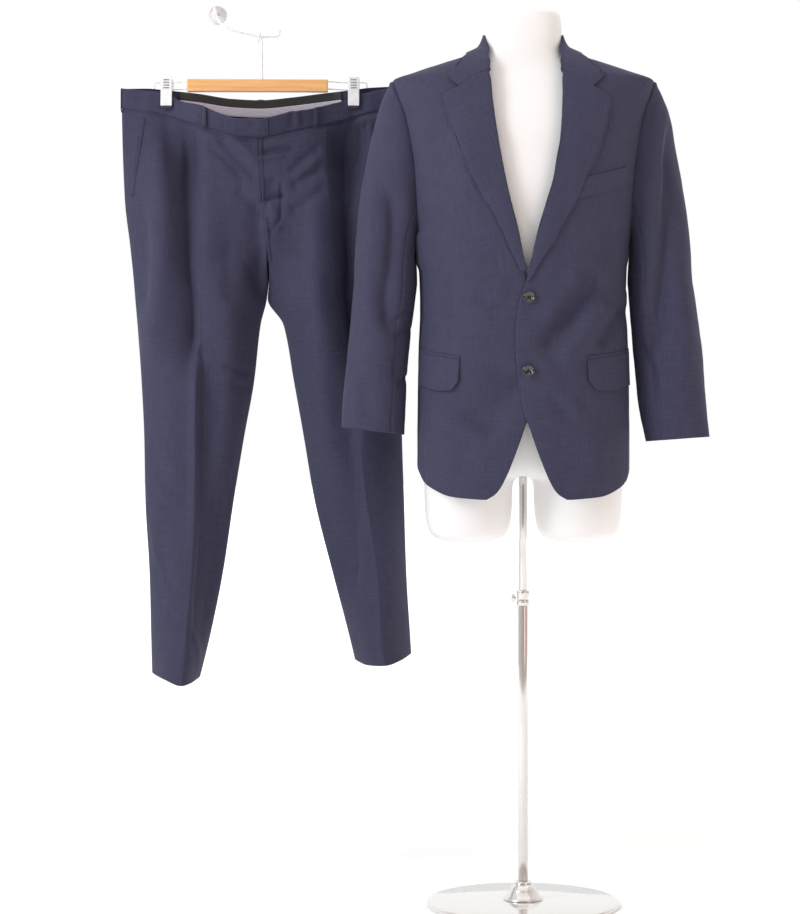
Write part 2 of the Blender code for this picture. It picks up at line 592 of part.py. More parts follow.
def trousers(navy, charcoal, lilac):
    for label, table, hem, mirrored in (
        ("right", LEG_RIGHT, HEM_RIGHT, False), ("left", LEG_LEFT, HEM_LEFT, True),
    ):
        for name, face in (("trouser_front_", -1), ("trouser_back_", 1)):
            def place(u, v, table=table, hem=hem, face=face, mirrored=mirrored):
                share = 1 - u if mirrored != (face > 0) else u
                share = round(share, 6)
                point = trouser_point(table, hem, face, share, v)
                if share == 1.0:
                    point.x += -SEAM if not mirrored else SEAM
                return point
            sheet(name + label, place, 8, 18, navy)

    def band(waist, face, start, end, low=0.0, high=1.0, out=0.0):
        """Place on the waistband from x start to x end, low and high as shares of its height."""
        def place(u, v):
            x = start + (end - start) * u
            share = low + (high - low) * v
            seam_z, top_z = read(waist, x, SEAM_Z), read(waist, x, TOP_Z)
            open_seam, open_top = read(waist, x, OPEN_SEAM), read(waist, x, OPEN_TOP)
            stand_off = open_seam + (open_top - open_seam) * share
            lift = out * (1 if face < 0 else -1)
            return Vector((x, HANG_Y + face * stand_off - lift, seam_z + (top_z - seam_z) * share))
        return place

    fly_x = -0.4620
    tab_x = -0.5190
    left_end, right_end = -0.7040, -0.2156
    sheet("waistband_front_right", band(WAIST_FRONT, -1, left_end, fly_x - 0.006, BAND_LOW), 14, 1, navy)
    sheet("waistband_front_left", band(WAIST_FRONT, -1, fly_x - 0.005, right_end, BAND_LOW), 14, 1, navy)
    sheet("waistband_tab", band(WAIST_FRONT, -1, tab_x, fly_x + 0.020, 0.00, 1.0, LAYER * 1.2), 4, 1, navy)
    sheet("waistband_back", band(WAIST_BACK, 1, right_end, left_end, BAND_LOW), 20, 1, navy)
    inner_left, inner_right = -0.6020, -0.3150
    sheet("waist_facing", band(WAIST_BACK, 1, inner_right, inner_left, 0.64, 0.98, -LAYER), 12, 1, charcoal)
    sheet("waist_strip", band(WAIST_BACK, 1, inner_right, inner_left, 0.24, 0.62, -LAYER), 12, 1, lilac)

    for label, x in (("front_right", -0.5570), ("front_left", -0.3580)):
        loop = band(WAIST_FRONT, -1, x - LOOP_HALF, x + LOOP_HALF, LOOP_LOW, LOOP_HIGH, LOOP_LIFT)
        sheet("belt_loop_" + label, loop, 1, 3, navy)
    back_x = -0.4590
    loop = band(WAIST_BACK, 1, back_x + LOOP_HALF, back_x - LOOP_HALF, LOOP_LOW, LOOP_HIGH, LOOP_LIFT)
    sheet("belt_loop_back", loop, 1, 3, navy)
    for label, x in (("side_right", left_end), ("side_left", right_end)):
        toward = -1 if x == left_end else 1

        def place(u, v, x=x, toward=toward):
            depth = HANG_Y + 0.005 * (1 - 2 * u) * toward * -1
            return Vector((x + toward * 0.0030, depth, 1.3780 + 0.0420 * v))
        sheet("belt_loop_" + label, place, 1, 2, navy)

    def fly(u, v):
        """The fly's edge: a narrow strip up the middle of the left front."""
        z = 1.110 + (1.322 - 1.110) * v
        inner, crease = read(LEG_LEFT, z, INNER), read(LEG_LEFT, z, CREASE)
        x = inner + 0.0015 + 0.0050 * u
        share = 1 - (x - inner) / (crease - inner) / 2
        hem_z = read(HEM_LEFT, share, LEG_HEM_Z)
        point = trouser_point(LEG_LEFT, HEM_LEFT, -1, share, (z - hem_z) / (1.3345 - hem_z))
        return Vector((x, point.y - 0.0046, z))

    sheet("fly_edge", fly, 1, 8, navy, THIN_WALL)

    for label, table, hem, mirrored in (
        ("right", LEG_RIGHT, HEM_RIGHT, False), ("left", LEG_LEFT, HEM_LEFT, True),
    ):
        def welt(u, v, table=table, hem=hem, mirrored=mirrored):
            across = 1 - u if mirrored else u
            share = 0.048 + 0.092 * v + 0.022 * across
            point = trouser_point(table, hem, -1, share, 0.845 + 0.140 * v)
            return point + Vector((0.0022 if mirrored else -0.0022, -LAYER, 0))
        sheet("pocket_edge_" + label, welt, 1, 6, navy, THIN_WALL)


def lofted(table, power, around=28, centre=0.0):
    """A closed smooth solid through level sections."""
    mesh = bpy.data.meshes.new("loft")
    loft = bmesh.new()
    rings = []
    for row in table:
        rings.append([
            loft.verts.new(section(table, 360 * k / around, row[Z], power) + Vector((centre, 0, 0)))
            for k in range(around)
        ])
    for low, high in zip(rings, rings[1:]):
        for k in range(around):
            after = (k + 1) % around
            loft.faces.new((low[k], low[after], high[after], high[k]))
    loft.faces.new(list(reversed(rings[0])))
    loft.faces.new(rings[-1])
    bmesh.ops.recalc_face_normals(loft, faces=loft.faces)
    loft.to_mesh(mesh)
    loft.free()
    mesh.shade_smooth()
    return mesh


def dress_form(white):
    torso = add("form_torso", lofted(FORM, SUPERELLIPSE, 36), white)
    for side, label in ((1, "left"), (-1, "right")):
        thigh = bpy.data.objects.new("cut_thigh_" + label, lofted(THIGH, 0.9, 24, side * THIGH_X))
        bpy.data.collections["cutters"].objects.link(thigh)
        thigh.hide_render = True
        thigh.display_type = "WIRE"
        join = torso.modifiers.new("thigh_" + label, "BOOLEAN")
        join.operation = "UNION"
        join.object = thigh


def turned(name, profile, finish, steps=28, location=(0, 0, 0), tilt=(0, 0, 0)):
    """A turned piece from its outer profile of (radius, height), top to bottom, both ends on the axis."""
    mesh = bpy.data.meshes.new(name)
    mesh.from_pydata([(radius, 0, height) for radius, height in profile],
                     [(k, k + 1) for k in range(len(profile) - 1)], [])
    piece = add(name, mesh, finish)
    screw = piece.modifiers.new("turn", "SCREW")
    screw.steps = screw.render_steps = steps
    screw.use_merge_vertices = True
    screw.merge_threshold = 0.00001
    piece.location = location
    piece.rotation_euler = tilt
    return piece


def wire(name, points, radius, finish, resolution=2):
    """A round wire through points, with closed ends."""
    curve = bpy.data.curves.new(name, "CURVE")
    curve.dimensions = "3D"
    curve.bevel_depth = radius
    curve.bevel_resolution = resolution
    curve.use_fill_caps = True
    spline = curve.splines.new("POLY")
    spline.points.add(len(points) - 1)
    for spot, point in zip(spline.points, points):
        spot.co = (point[0], point[1], point[2], 1)
    curve.materials.append(finish)
    piece = bpy.data.objects.new(name, curve)
    bpy.data.collections["two_piece_suit"].objects.link(piece)
    return piece


def box(name, centre, size, finish, bevel=0.0, tilt=(0, 0, 0)):
    mesh = bpy.data.meshes.new(name)
    block = bmesh.new()
    bmesh.ops.create_cube(block, size=1)
    bmesh.ops.scale(block, vec=size, verts=block.verts)
    block.to_mesh(mesh)
    block.free()
    piece = add(name, mesh, finish)
    piece.location = centre
    piece.rotation_euler = tilt
    if bevel:
        edge = piece.modifiers.new("edge", "BEVEL")
        edge.width = bevel
        edge.segments = 2
    return piece


def stand(chrome):
    gap = 0.0004
    plate_top, hub_top = 0.009, 0.040
    clamp_low, clamp_high = CLAMP_Z - 0.016, CLAMP_Z + 0.010
    turned("base_plate", ((0, plate_top), (0.160, plate_top), (0.165, 0.006), (0.165, 0), (0, 0)), chrome, 48)
    turned("base_hub", (
        (0, hub_top), (0.0145, hub_top), (0.0190, 0.034), (0.0290, 0.016), (0.0340, plate_top + gap),
        (0, plate_top + gap),
    ), chrome)
    turned("pole_outer", (
        (0, clamp_low - gap), (OUTER_POLE, clamp_low - gap),
        (OUTER_POLE, hub_top + gap), (0, hub_top + gap),
    ), chrome, 24)
    turned("pole_clamp", (
        (0, clamp_high), (0.0106, clamp_high), (0.0115, clamp_high - 0.002), (0.0115, clamp_low + 0.002),
        (0.0106, clamp_low), (0, clamp_low),
    ), chrome, 24)
    turned("pole_inner", (
        (0, POLE_TOP_Z), (INNER_POLE, POLE_TOP_Z), (INNER_POLE, clamp_high + gap), (0, clamp_high + gap),
    ), chrome, 20)
    turned("clamp_screw", (
        (0, 0.0085), (0.0060, 0.0085), (0.0072, 0.0070), (0.0072, 0.0035), (0.0050, 0.0020),
        (0.0030, 0.0020), (0.0030, 0.0), (0, 0.0),
    ), chrome, 16, (-0.0119, 0, CLAMP_Z - 0.003), (0, math.radians(-90), 0))


def hanger(wood, chrome, clip_white, rubber):
    bar_left, bar_right = -0.5889, -0.3383
    bar_z, bar_y = 1.4250, HANG_Y
    bar_size = (bar_right - bar_left, 0.012, 0.0230)
    box("hanger_bar", ((bar_left + bar_right) / 2, bar_y, bar_z), bar_size, wood, 0.002)
    for label, x, way in (("right", -0.6248, -1), ("left", -0.2925, 1)):
        bar_end = bar_left if way < 0 else bar_right
        end = x + way * 0.0190
        start = bar_end + way * 0.0004
        upper, lower = 1.4325, 1.4195
        y = bar_y + 0.0120
        wire("hanger_wire_" + label, (
            (start, bar_y, upper), (start + way * 0.006, bar_y + 0.001, upper),
            (start + way * 0.020, y - 0.002, upper), (start + way * 0.026, y, upper),
            (end, y, upper), (end + way * 0.004, y, upper - 0.003),
            (end + way * 0.004, y, lower + 0.003), (end, y, lower),
            (start + way * 0.026, y, lower), (start + way * 0.020, y - 0.002, lower),
            (start + way * 0.006, bar_y + 0.001, lower), (start, bar_y, lower),
        ), 0.0011, chrome, 1)
        front_y = HANG_Y - read(WAIST_FRONT, x, OPEN_TOP) - 0.0046
        clip_size, clip_z = (0.0200, 0.0040, 0.0520), 1.4135
        lean = (math.radians(-3), 0, 0)
        box("clip_front_" + label, (x, front_y - 0.0015, clip_z), clip_size, clip_white, 0.001, lean)
        box("clip_back_" + label, (x, HANG_Y + 0.0220, clip_z), clip_size, clip_white, 0.001)
        box("clip_tip_" + label, (x, front_y - 0.0039, 1.3850), (0.0185, 0.0036, 0.0040), rubber)

    hook_x = (bar_left + bar_right) / 2 + 0.0080
    radius = 0.0150
    top_z = 1.5000
    stem = (bar_z + 0.0119, bar_z + 0.0300, top_z - radius - 0.006)
    points = [(hook_x, bar_y, height) for height in stem]
    for k in range(11):
        angle = math.radians(20 * k)
        y = bar_y - radius + radius * math.cos(angle)
        points.append((hook_x - 0.0005 * k, y, top_z + radius * math.sin(angle)))
    wire("hanger_hook", points, 0.0014, chrome, 2)

    arm_z = top_z + radius - 0.0056
    arm_y = bar_y - radius
    plate_z = arm_z + 0.0600
    wire("wall_arm", (
        (-0.4235, arm_y, arm_z + 0.012), (-0.4240, arm_y, arm_z + 0.004), (-0.4275, arm_y, arm_z + 0.0005),
        (-0.4400, arm_y, arm_z), (-0.4560, arm_y, arm_z), (-0.4680, arm_y, arm_z + 0.002),
        (-0.5057, arm_y, arm_z + 0.0105), (-0.5220, arm_y + 0.001, arm_z + 0.0180),
        (-0.5330, arm_y + 0.006, arm_z + 0.0300), (-0.5390, arm_y + 0.014, arm_z + 0.0450),
        (-0.5420, arm_y + 0.026, plate_z - 0.0040), (-0.5430, arm_y + 0.040, plate_z),
        (-0.5430, 0.2546, plate_z),
    ), 0.0018, chrome, 2)
    turned("wall_plate", ((0, 0.0050), (0.0160, 0.0050), (0.0180, 0.0030), (0.0180, 0), (0, 0)), chrome, 32,
           (-0.5430, 0.2600, plate_z), (math.radians(90), 0, 0))


def build():
    for thing in list(bpy.data.objects):
        bpy.data.objects.remove(thing, do_unlink=True)
    for name in ("two_piece_suit", "cutters"):
        group = bpy.data.collections.get(name) or bpy.data.collections.new(name)
        if name not in bpy.context.scene.collection.children:
            bpy.context.scene.collection.children.link(group)

    navy = material("navy_worsted", NAVY, 0.85)
    charcoal = material("charcoal_facing", (0.060, 0.056, 0.058, 1.0), 0.80)
    lilac = material("lilac_strip", (0.36, 0.33, 0.40, 1.0), 0.70)
    button_black = material("button_horn", (0.015, 0.015, 0.017, 1.0), 0.25)
    white = material("form_white", (0.90, 0.90, 0.89, 1.0), 0.55)
    chrome = material("chrome", (0.80, 0.79, 0.77, 1.0), 0.12, 1.0)
    wood = material("beech", (0.72, 0.44, 0.20, 1.0), 0.45)
    clip_white = material("clip_white", (0.88, 0.88, 0.88, 1.0), 0.35)
    rubber = material("clip_rubber", (0.05, 0.05, 0.05, 1.0), 0.70)

    jacket_body(navy)
    jacket_collar(navy)
    jacket_details(navy, button_black)
    sleeves(navy)
    trousers(navy, charcoal, lilac)
    dress_form(white)
    stand(chrome)
    hanger(wood, chrome, clip_white, rubber)


build()
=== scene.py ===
# A two-piece suit: the jacket on a dress form and its stand, the trousers on a clip hanger beside it.
# Metres, +Z up.  The front faces -Y and the wearer's left is +X.
import functools
import math

import bmesh
import bpy
import numpy as np
from mathutils import Matrix, Vector


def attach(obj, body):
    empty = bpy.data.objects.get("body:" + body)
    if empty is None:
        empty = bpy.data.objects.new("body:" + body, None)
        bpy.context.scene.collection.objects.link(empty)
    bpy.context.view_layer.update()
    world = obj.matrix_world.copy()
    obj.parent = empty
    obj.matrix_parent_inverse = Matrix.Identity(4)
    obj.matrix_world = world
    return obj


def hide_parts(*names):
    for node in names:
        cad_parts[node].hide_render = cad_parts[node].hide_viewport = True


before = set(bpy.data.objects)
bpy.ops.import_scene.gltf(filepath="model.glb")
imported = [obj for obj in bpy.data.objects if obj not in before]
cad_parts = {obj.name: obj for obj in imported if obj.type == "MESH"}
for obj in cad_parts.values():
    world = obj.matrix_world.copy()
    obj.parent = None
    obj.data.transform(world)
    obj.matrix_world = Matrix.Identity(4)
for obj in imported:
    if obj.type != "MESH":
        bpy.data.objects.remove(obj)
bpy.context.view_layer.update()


# Studio: a camera level with the form's hips, a pale floor that glows with painted light, faintly near the
# stand and more brightly far off, and a pale surround that only the camera sees.  Light sweeps in from
# above and behind; a large soft box stands high on the left, a wide one hangs overhead and a weak warm
# one stands on the right.
def placed(name, data):
    """A new object in the scene."""
    made = bpy.data.objects.new(name, data)
    bpy.context.scene.collection.objects.link(made)
    return made


camera = placed("camera", bpy.data.cameras.new("camera"))
camera.location = (-0.2103, -4.0, 0.765)
camera.rotation_euler = (math.radians(90), 0, 0)
camera.data.lens = 92.16
camera.data.sensor_width = 36
bpy.context.scene.camera = camera
bpy.context.scene.view_settings.view_transform = "Standard"

WHITE = (1.0, 1.0, 1.0)
for name, spot, aim, size, watts, colour in (
    ("key_light", (-3.0, -1.9, 2.55), (-0.1, 0, 1.0), (1.2, 1.8), 74, (0.88, 0.94, 1.0)),
    ("overhead_light", (0, -0.6, 4.6), (0, -0.6, 0), (6.0, 6.0), 66, WHITE),
    ("fill_light", (2.2, -2.8, 1.5), (-0.1, 0, 0.9), (1.4, 1.8), 13, (1.0, 0.6, 0.42)),
):
    lamp = bpy.data.lights.new(name, "AREA")
    lamp.shape = "RECTANGLE"
    lamp.size, lamp.size_y = size
    lamp.energy = watts
    lamp.color = colour
    holder = placed(name, lamp)
    holder.location = spot
    holder.rotation_euler = (Vector(aim) - Vector(spot)).to_track_quat("-Z", "Y").to_euler()


def fill(tree, socket, value):
    """Links a socket to the one given, or sets its plain value."""
    if isinstance(value, bpy.types.NodeSocket):
        tree.links.new(value, socket)
    else:
        socket.default_value = value


def node(tree, kind, inputs=None, **settings):
    """Adds a shader node with its settings and inputs; returns its outputs."""
    made = tree.nodes.new("ShaderNode" + kind)
    for key, value in settings.items():
        setattr(made, key, value)
    for key, value in (inputs or {}).items():
        fill(tree, made.inputs[key], value)
    return made.outputs


def blended(tree, share, low, high, first, second):
    """Colour from first to second as share goes from low to high."""
    ramp = tree.nodes.new("ShaderNodeValToRGB")
    for stop, place, colour in zip(ramp.color_ramp.elements, (low, high), (first, second)):
        stop.position = place
        stop.color = (*colour, 1.0)
    fill(tree, ramp.inputs["Fac"], share)
    return ramp.outputs["Color"]


world = bpy.data.worlds.new("studio_sweep")
bpy.context.scene.world = world
world.use_nodes = True
sky = world.node_tree
split = node(sky, "SeparateXYZ", {0: node(sky, "TexCoord")["Generated"]})
rise_share = node(sky, "Math", {0: split["Z"], 1: 0.9, 2: split["Y"]}, operation="MULTIPLY_ADD")[0]
sweep = node(sky, "MapRange", {"Value": rise_share, "From Min": -0.75, "From Max": 1.3, "To Min": 0.07,
                               "To Max": 1.07}, interpolation_type="SMOOTHSTEP")["Result"]
fill(sky, sky.nodes["Background"].inputs["Strength"], sweep)
fill(sky, sky.nodes["Background"].inputs["Color"], blended(sky, sweep, 0, 0.85, (1.0, 0.62, 0.46), WHITE))


def coordinates(tree, stretch=None, on_grain=False):
    """A piece's own coordinates, or the lie of its cloth's grain in metres, stretched if told."""
    own = node(tree, "UVMap", uv_map="grain")["UV"] if on_grain else node(tree, "TexCoord")["Object"]
    return node(tree, "Mapping", {"Vector": own, "Scale": stretch})["Vector"] if stretch else own


def noise(tree, spot, scale, detail=3.0, rough=0.55):
    return node(tree, "TexNoise", {"Vector": spot, "Scale": scale, "Detail": detail,
                                   "Roughness": rough})["Fac"]


def bumped(tree, height, strength, distance):
    return node(tree, "Bump", {"Height": height, "Strength": strength, "Distance": distance})["Normal"]


def set_shader(finish, inputs):
    """Sets or links inputs of a material's shader."""
    for key, value in inputs.items():
        fill(finish.node_tree, finish.node_tree.nodes["Principled BSDF"].inputs[key], value)


def surface(name, colour, roughness, metallic=0.0, tones=None, relief=None, stretch=None, on_grain=False,
            more=None):
    """A new material.  Its tones are (noise, low, high, first colour, second colour) and its relief is
    (noise, strength, distance), where a noise is its scale, then its detail and roughness if unusual."""
    made = bpy.data.materials.new(name)
    made.use_nodes = True
    made.diffuse_color = (*colour, 1.0)
    set_shader(made, {"Base Color": (*colour, 1.0), "Roughness": roughness, "Metallic": metallic,
                      **(more or {})})
    tree = made.node_tree
    if tones or relief:
        spot = coordinates(tree, stretch, on_grain)
    if tones:
        set_shader(made, {"Base Color": blended(tree, noise(tree, spot, *tones[0]), *tones[1:])})
    if relief:
        set_shader(made, {"Normal": bumped(tree, noise(tree, spot, *relief[0]), *relief[1:])})
    return made


def as_mesh(name, shape):
    """A mesh of a finished bmesh."""
    mesh = bpy.data.meshes.new(name)
    shape.to_mesh(mesh)
    shape.free()
    return mesh


painted = surface("pale_floor_paint_and_painted_glow", (0.9, 0.9, 0.9), 0.7,
                  tones=((3.0,), 0.3, 0.7, (0.9, 0.9, 0.9), (0.92, 0.92, 0.92)),
                  more={"Emission Color": (*WHITE, 1.0)})
tree = painted.node_tree
away = node(tree, "VectorMath", {0: coordinates(tree)}, operation="LENGTH")["Value"]
# Painted light: the floor glows, faintly within half a metre of the stand and more brightly out to nine
# metres.
set_shader(painted, {"Emission Strength": node(tree, "MapRange", {
    "Value": away, "From Min": 0.5, "From Max": 9.0, "To Min": 0.1, "To Max": 0.75})["Result"]})
ground = bmesh.new()
bmesh.ops.create_grid(ground, x_segments=1, y_segments=1, size=300,
                      matrix=Matrix.Translation((0, 0, -0.0005)))
floor = placed("floor", as_mesh("floor", ground))
floor.data.materials.append(painted)
dome = bmesh.new()
bmesh.ops.create_icosphere(dome, subdivisions=4, radius=60)
bmesh.ops.reverse_faces(dome, faces=dome.faces)
surround = placed("surround", as_mesh("surround", dome))
surround.data.materials.append(surface("pale_surround", (0.0, 0.0, 0.0), 1.0, more={
    "Emission Color": (*WHITE, 1.0), "Emission Strength": 1.0, "Specular IOR Level": 0.0}))
surround.visible_diffuse = surround.visible_glossy = surround.visible_transmission = False
surround.visible_volume_scatter = surround.visible_shadow = False


def finished(name, mesh, finish, stands_for):
    """Puts a piece in the scene with its finish and the CAD node it stands for."""
    mesh.materials.append(finish)
    mesh.polygons.foreach_set("use_smooth", [True] * len(mesh.polygons))
    piece = placed(name, mesh)
    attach(piece, "root")
    if stands_for:
        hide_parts(stands_for)
    return piece


# Stand: a round base plate, a turned hub, an outer tube, and an inner tube that slides in it and is
# held by a clamp collar with a small thumb screw.  Steel, turned and drawn, all chrome plated.
chrome = surface("chrome_plate", (0.82, 0.805, 0.78), 0.2, 0.55)
tree = chrome.node_tree
haze = noise(tree, coordinates(tree, (60, 60, 1.5)), 2.0, 4.0)
set_shader(chrome, {
    "Roughness": node(tree, "MapRange", {"Value": haze, "To Min": 0.05, "To Max": 0.17})["Result"],
    "Normal": bumped(tree, haze, 0.04, 0.0002)})


def rounded(shape, edges, offset, segments):
    bmesh.ops.bevel(shape, geom=edges, offset=offset, segments=segments, profile=0.5, affect="EDGES",
                    material=-1, clamp_overlap=True)


def spun(name, profile, finish, stands_for, rims, steps=64, place=None):
    """A turned piece: its profile of (radius, height), spun round the axis, its rims rounded."""
    lathe = bmesh.new()
    line = [lathe.verts.new((radius, 0, height)) for radius, height in profile]
    edges = [lathe.edges.new(pair) for pair in zip(line, line[1:])]
    bmesh.ops.spin(lathe, geom=line + edges, cent=(0, 0, 0), axis=(0, 0, 1), angle=math.tau,
                   steps=steps, use_merge=True)
    bmesh.ops.remove_doubles(lathe, verts=lathe.verts, dist=0.00001)
    bmesh.ops.recalc_face_normals(lathe, faces=lathe.faces)
    if rims:
        lathe.edges.ensure_lookup_table()
        rounded(lathe, [edge for edge in lathe.edges if edge.is_manifold and edge.calc_face_angle() > 0.6],
                rims, 3)
    if place is not None:
        bmesh.ops.transform(lathe, matrix=place, verts=lathe.verts)
    return finished(name, as_mesh(name, lathe), finish, stands_for)


CLAMP_Z = 0.527
CLAMP_LOW, CLAMP_HIGH = CLAMP_Z - 0.016, CLAMP_Z + 0.01
toward_side = Matrix.Translation((-0.0117, 0, CLAMP_Z - 0.003)) @ Matrix.Rotation(math.radians(-90), 4, "Y")
for name, stands_for, rims, steps, place, profile in (
    ("base", "base_plate", 0.0008, 96, None, (
        (0, 0.009), (0.04, 0.009), (0.16, 0.0086), (0.1642, 0.0066), (0.165, 0.004), (0.165, 0.0),
        (0, 0.0))),
    ("hub", "base_hub", 0.0005, 64, None, (
        (0, 0.04), (0.0135, 0.04), (0.015, 0.039), (0.016, 0.035), (0.019, 0.033),
        (0.0225, 0.026), (0.029, 0.016), (0.0335, 0.0112), (0.034, 0.0094), (0, 0.0094))),
    ("outer_tube", "pole_outer", 0.0004, 64, None, (
        (0, CLAMP_LOW - 0.0002), (0.0085, CLAMP_LOW - 0.0002), (0.0085, 0.0402), (0, 0.0402))),
    ("clamp", "pole_clamp", 0.0004, 64, None, (
        (0, CLAMP_HIGH), (0.0092, CLAMP_HIGH), (0.011, CLAMP_HIGH - 0.001), (0.0115, CLAMP_HIGH - 0.003),
        (0.0115, CLAMP_HIGH - 0.0065), (0.0106, CLAMP_HIGH - 0.0072), (0.0106, CLAMP_LOW + 0.0072),
        (0.0115, CLAMP_LOW + 0.0065), (0.0115, CLAMP_LOW + 0.003), (0.011, CLAMP_LOW + 0.001),
        (0.0098, CLAMP_LOW), (0, CLAMP_LOW))),
    ("inner_tube", "pole_inner", 0.0004, 64, None, (
        (0, 0.7318), (0.0068, 0.7318), (0.0068, CLAMP_HIGH + 0.0002), (0, CLAMP_HIGH + 0.0002))),
    ("thumb_screw", "clamp_screw", 0.0003, 24, toward_side, (
        (0, 0.0085), (0.0052, 0.0085), (0.0068, 0.0078), (0.0072, 0.0068), (0.0072, 0.0036),
        (0.0066, 0.0028), (0.004, 0.0022), (0.003, 0.0018), (0.003, 0.0), (0, 0.0))),
):
    spun("stand_" + name, profile, chrome, stands_for, rims, steps, place)


# Dress form: a smooth limbless torso with two thigh stubs, moulded in one white shell.  The neck is
# cut level; the jacket rests on its shoulders.
def metres(*rows):
    """Rows given in millimetres, as rows of metres."""
    return tuple(metres(*row) if isinstance(row, tuple) else row / 1000 for row in rows)


Z, HALF, FRONT, BACK = range(4)
FORM = metres(  # height, half width, front depth, back depth
    (732.5, 130, 75, 85), (750, 156, 92, 98), (800, 166, 105, 108), (880, 166, 112, 108),
    (960, 156, 112, 100), (1030, 151, 110, 96), (1120, 160, 117, 102), (1220, 172, 124, 109),
    (1300, 178, 118, 110), (1345, 179, 103, 104), (1375, 176, 87, 96), (1395, 166, 77, 89),
    (1411, 142, 67, 80), (1425, 112, 60, 71), (1438, 86, 55, 64), (1454, 68, 52, 60), (1475, 66, 50, 58),
    (1515, 65.5, 50, 57), (1525, 61, 46, 53),
)
THIGH_X = 0.0935
THIGH = metres(  # the same for a thigh
    (619, 30, 36, 38), (622, 48, 56, 58), (632, 64, 74, 76), (652, 72, 83, 85), (690, 75.5, 88, 91),
    (750, 76, 91, 96), (810, 64, 85, 90),
)


@functools.lru_cache(maxsize=None)
def knots(table, column):
    """Places, values and slopes of one column of a table, for a smooth curve that never overshoots."""
    place = np.array([row[0] for row in table])
    value = np.array([row[column] for row in table])
    rise = np.diff(value) / np.diff(place)
    before, after = rise[:-1], rise[1:]
    total = np.where(before * after > 0, before + after, 1.0)
    middle = np.where(before * after > 0, 2 * before * after / total, 0.0)
    return place, value, np.concatenate((rise[:1], middle, rise[-1:]))


def eased(t, start, leave, end, arrive):
    """A smooth step from start to end, with the slopes that it leaves and arrives by."""
    return ((2 * t ** 3 - 3 * t ** 2 + 1) * start + (t ** 3 - 2 * t ** 2 + t) * leave
            + (3 * t ** 2 - 2 * t ** 3) * end + (t ** 3 - t ** 2) * arrive)


def read(table, at, column):
    """Smooth value of a table's column where its first column is at."""
    place, value, slope = knots(table, column)
    at = np.clip(at, place[0], place[-1])
    row = np.clip(np.searchsorted(place, at) - 1, 0, len(place) - 2)
    span = place[row + 1] - place[row]
    return eased((at - place[row]) / span, value[row], span * slope[row], value[row + 1],
                 span * slope[row + 1])


def bowed(value, power):
    return np.copysign(np.abs(value) ** power, value)


def points_at(x, y, z):
    return np.stack(np.broadcast_arrays(x, y, z), axis=-1)


def section(table, turn, z, power):
    """Points of level sections, turn in degrees from the front towards the wearer's left."""
    turn = np.radians(turn)
    depth = np.where(np.cos(turn) > 0, read(table, z, FRONT), read(table, z, BACK))
    half = read(table, z, HALF)
    return points_at(half * bowed(np.sin(turn), power), -depth * bowed(np.cos(turn), power), z)


def loft_shell(shell, table, power, across, up, centre=0.0):
    """Adds a closed shell through level sections: a moved grid, its side seam welded, its ends filled."""
    made = bmesh.ops.create_grid(shell, x_segments=across, y_segments=up, size=0.5)["verts"]
    spots = np.array([vert.co[:] for vert in made]) + 0.5
    low, high = table[0][Z], table[-1][Z]
    points = section(table, spots[:, 0] * 360, low + (high - low) * spots[:, 1], power)
    for vert, point in zip(made, points):
        vert.co = point + np.array((centre, 0, 0))
    bmesh.ops.remove_doubles(shell, verts=made, dist=0.0001)
    bmesh.ops.holes_fill(shell, edges=[edge for edge in shell.edges if edge.is_boundary])


def kept_shape(piece):
    """Applies a piece's modifiers to its mesh."""
    shaped = bpy.data.meshes.new_from_object(piece.evaluated_get(bpy.context.evaluated_depsgraph_get()))
    piece.modifiers.clear()
    piece.data = shaped


shell = bmesh.new()
loft_shell(shell, FORM, 0.8, 96, 90)
for side in (-1, 1):
    loft_shell(shell, THIGH, 0.9, 64, 30, side * THIGH_X)
bmesh.ops.recalc_face_normals(shell, faces=shell.faces)
dress_form = finished("dress_form", as_mesh("dress_form", shell), surface(
    "form_white_shell", (0.93, 0.93, 0.925), 0.42,
    tones=((6.0,), 0.35, 0.7, (0.93, 0.93, 0.925), (0.9, 0.895, 0.885)),
    relief=((420.0, 2.0), 0.05, 0.0004)), "form_torso")
joined_shell = dress_form.modifiers.new("one_shell", "REMESH")
joined_shell.mode = "VOXEL"
joined_shell.voxel_size = 0.0056
joined_shell.use_smooth_shade = True
softened = dress_form.modifiers.new("eased", "SMOOTH")
softened.factor = 0.6
softened.iterations = 14
kept_shape(dress_form)
dress_form.data.polygons.foreach_set("use_smooth", [True] * len(dress_form.data.polygons))


# Suit cloth: a light navy worsted wool in a plain two-yarn weave, dyed in the yarn, so that fine
# upright and level threads vary a little in tone.  Pressed, with a soft sheen; no pattern.
def worsted(name, tone):
    """Navy worsted; its threads follow the piece's own grain."""
    base, dark, light = ([share * tone for share in colour] for colour in (
        (0.052, 0.052, 0.092), (0.038, 0.038, 0.071), (0.064, 0.064, 0.116)))
    made = surface(name, base, 0.78, more={"Sheen Weight": 0.035, "Sheen Roughness": 0.45,
                                           "Specular IOR Level": 0.18})
    tree = made.node_tree
    threads, yarns = [], []
    for turn, stretch in ((0, (620, 26, 1)), (90, (26, 620, 1))):
        lay = node(tree, "Mapping", {"Vector": coordinates(tree, on_grain=True),
                                     "Rotation": (0, 0, math.radians(turn))})["Vector"]
        threads.append(node(tree, "TexWave", {"Vector": lay, "Scale": 330.0, "Distortion": 0.6,
                                              "Detail": 1.0})["Fac"])
        yarns.append(noise(tree, coordinates(tree, stretch, True), 1.0, 2.0))
    weave = node(tree, "Math", {0: threads[0], 1: threads[1]}, operation="MULTIPLY")[0]
    both = node(tree, "Math", {0: yarns[0], 1: yarns[1]}, operation="ADD")[0]
    spread = node(tree, "Math", {0: weave, 1: 0.16, 2: -0.04}, operation="MULTIPLY_ADD")[0]
    tones = node(tree, "Math", {0: both, 1: 0.5, 2: spread}, operation="MULTIPLY_ADD")[0]
    set_shader(made, {"Base Color": blended(tree, tones, 0.3, 0.75, dark, light),
                      "Normal": bumped(tree, weave, 0.35, 0.00012)})
    return made


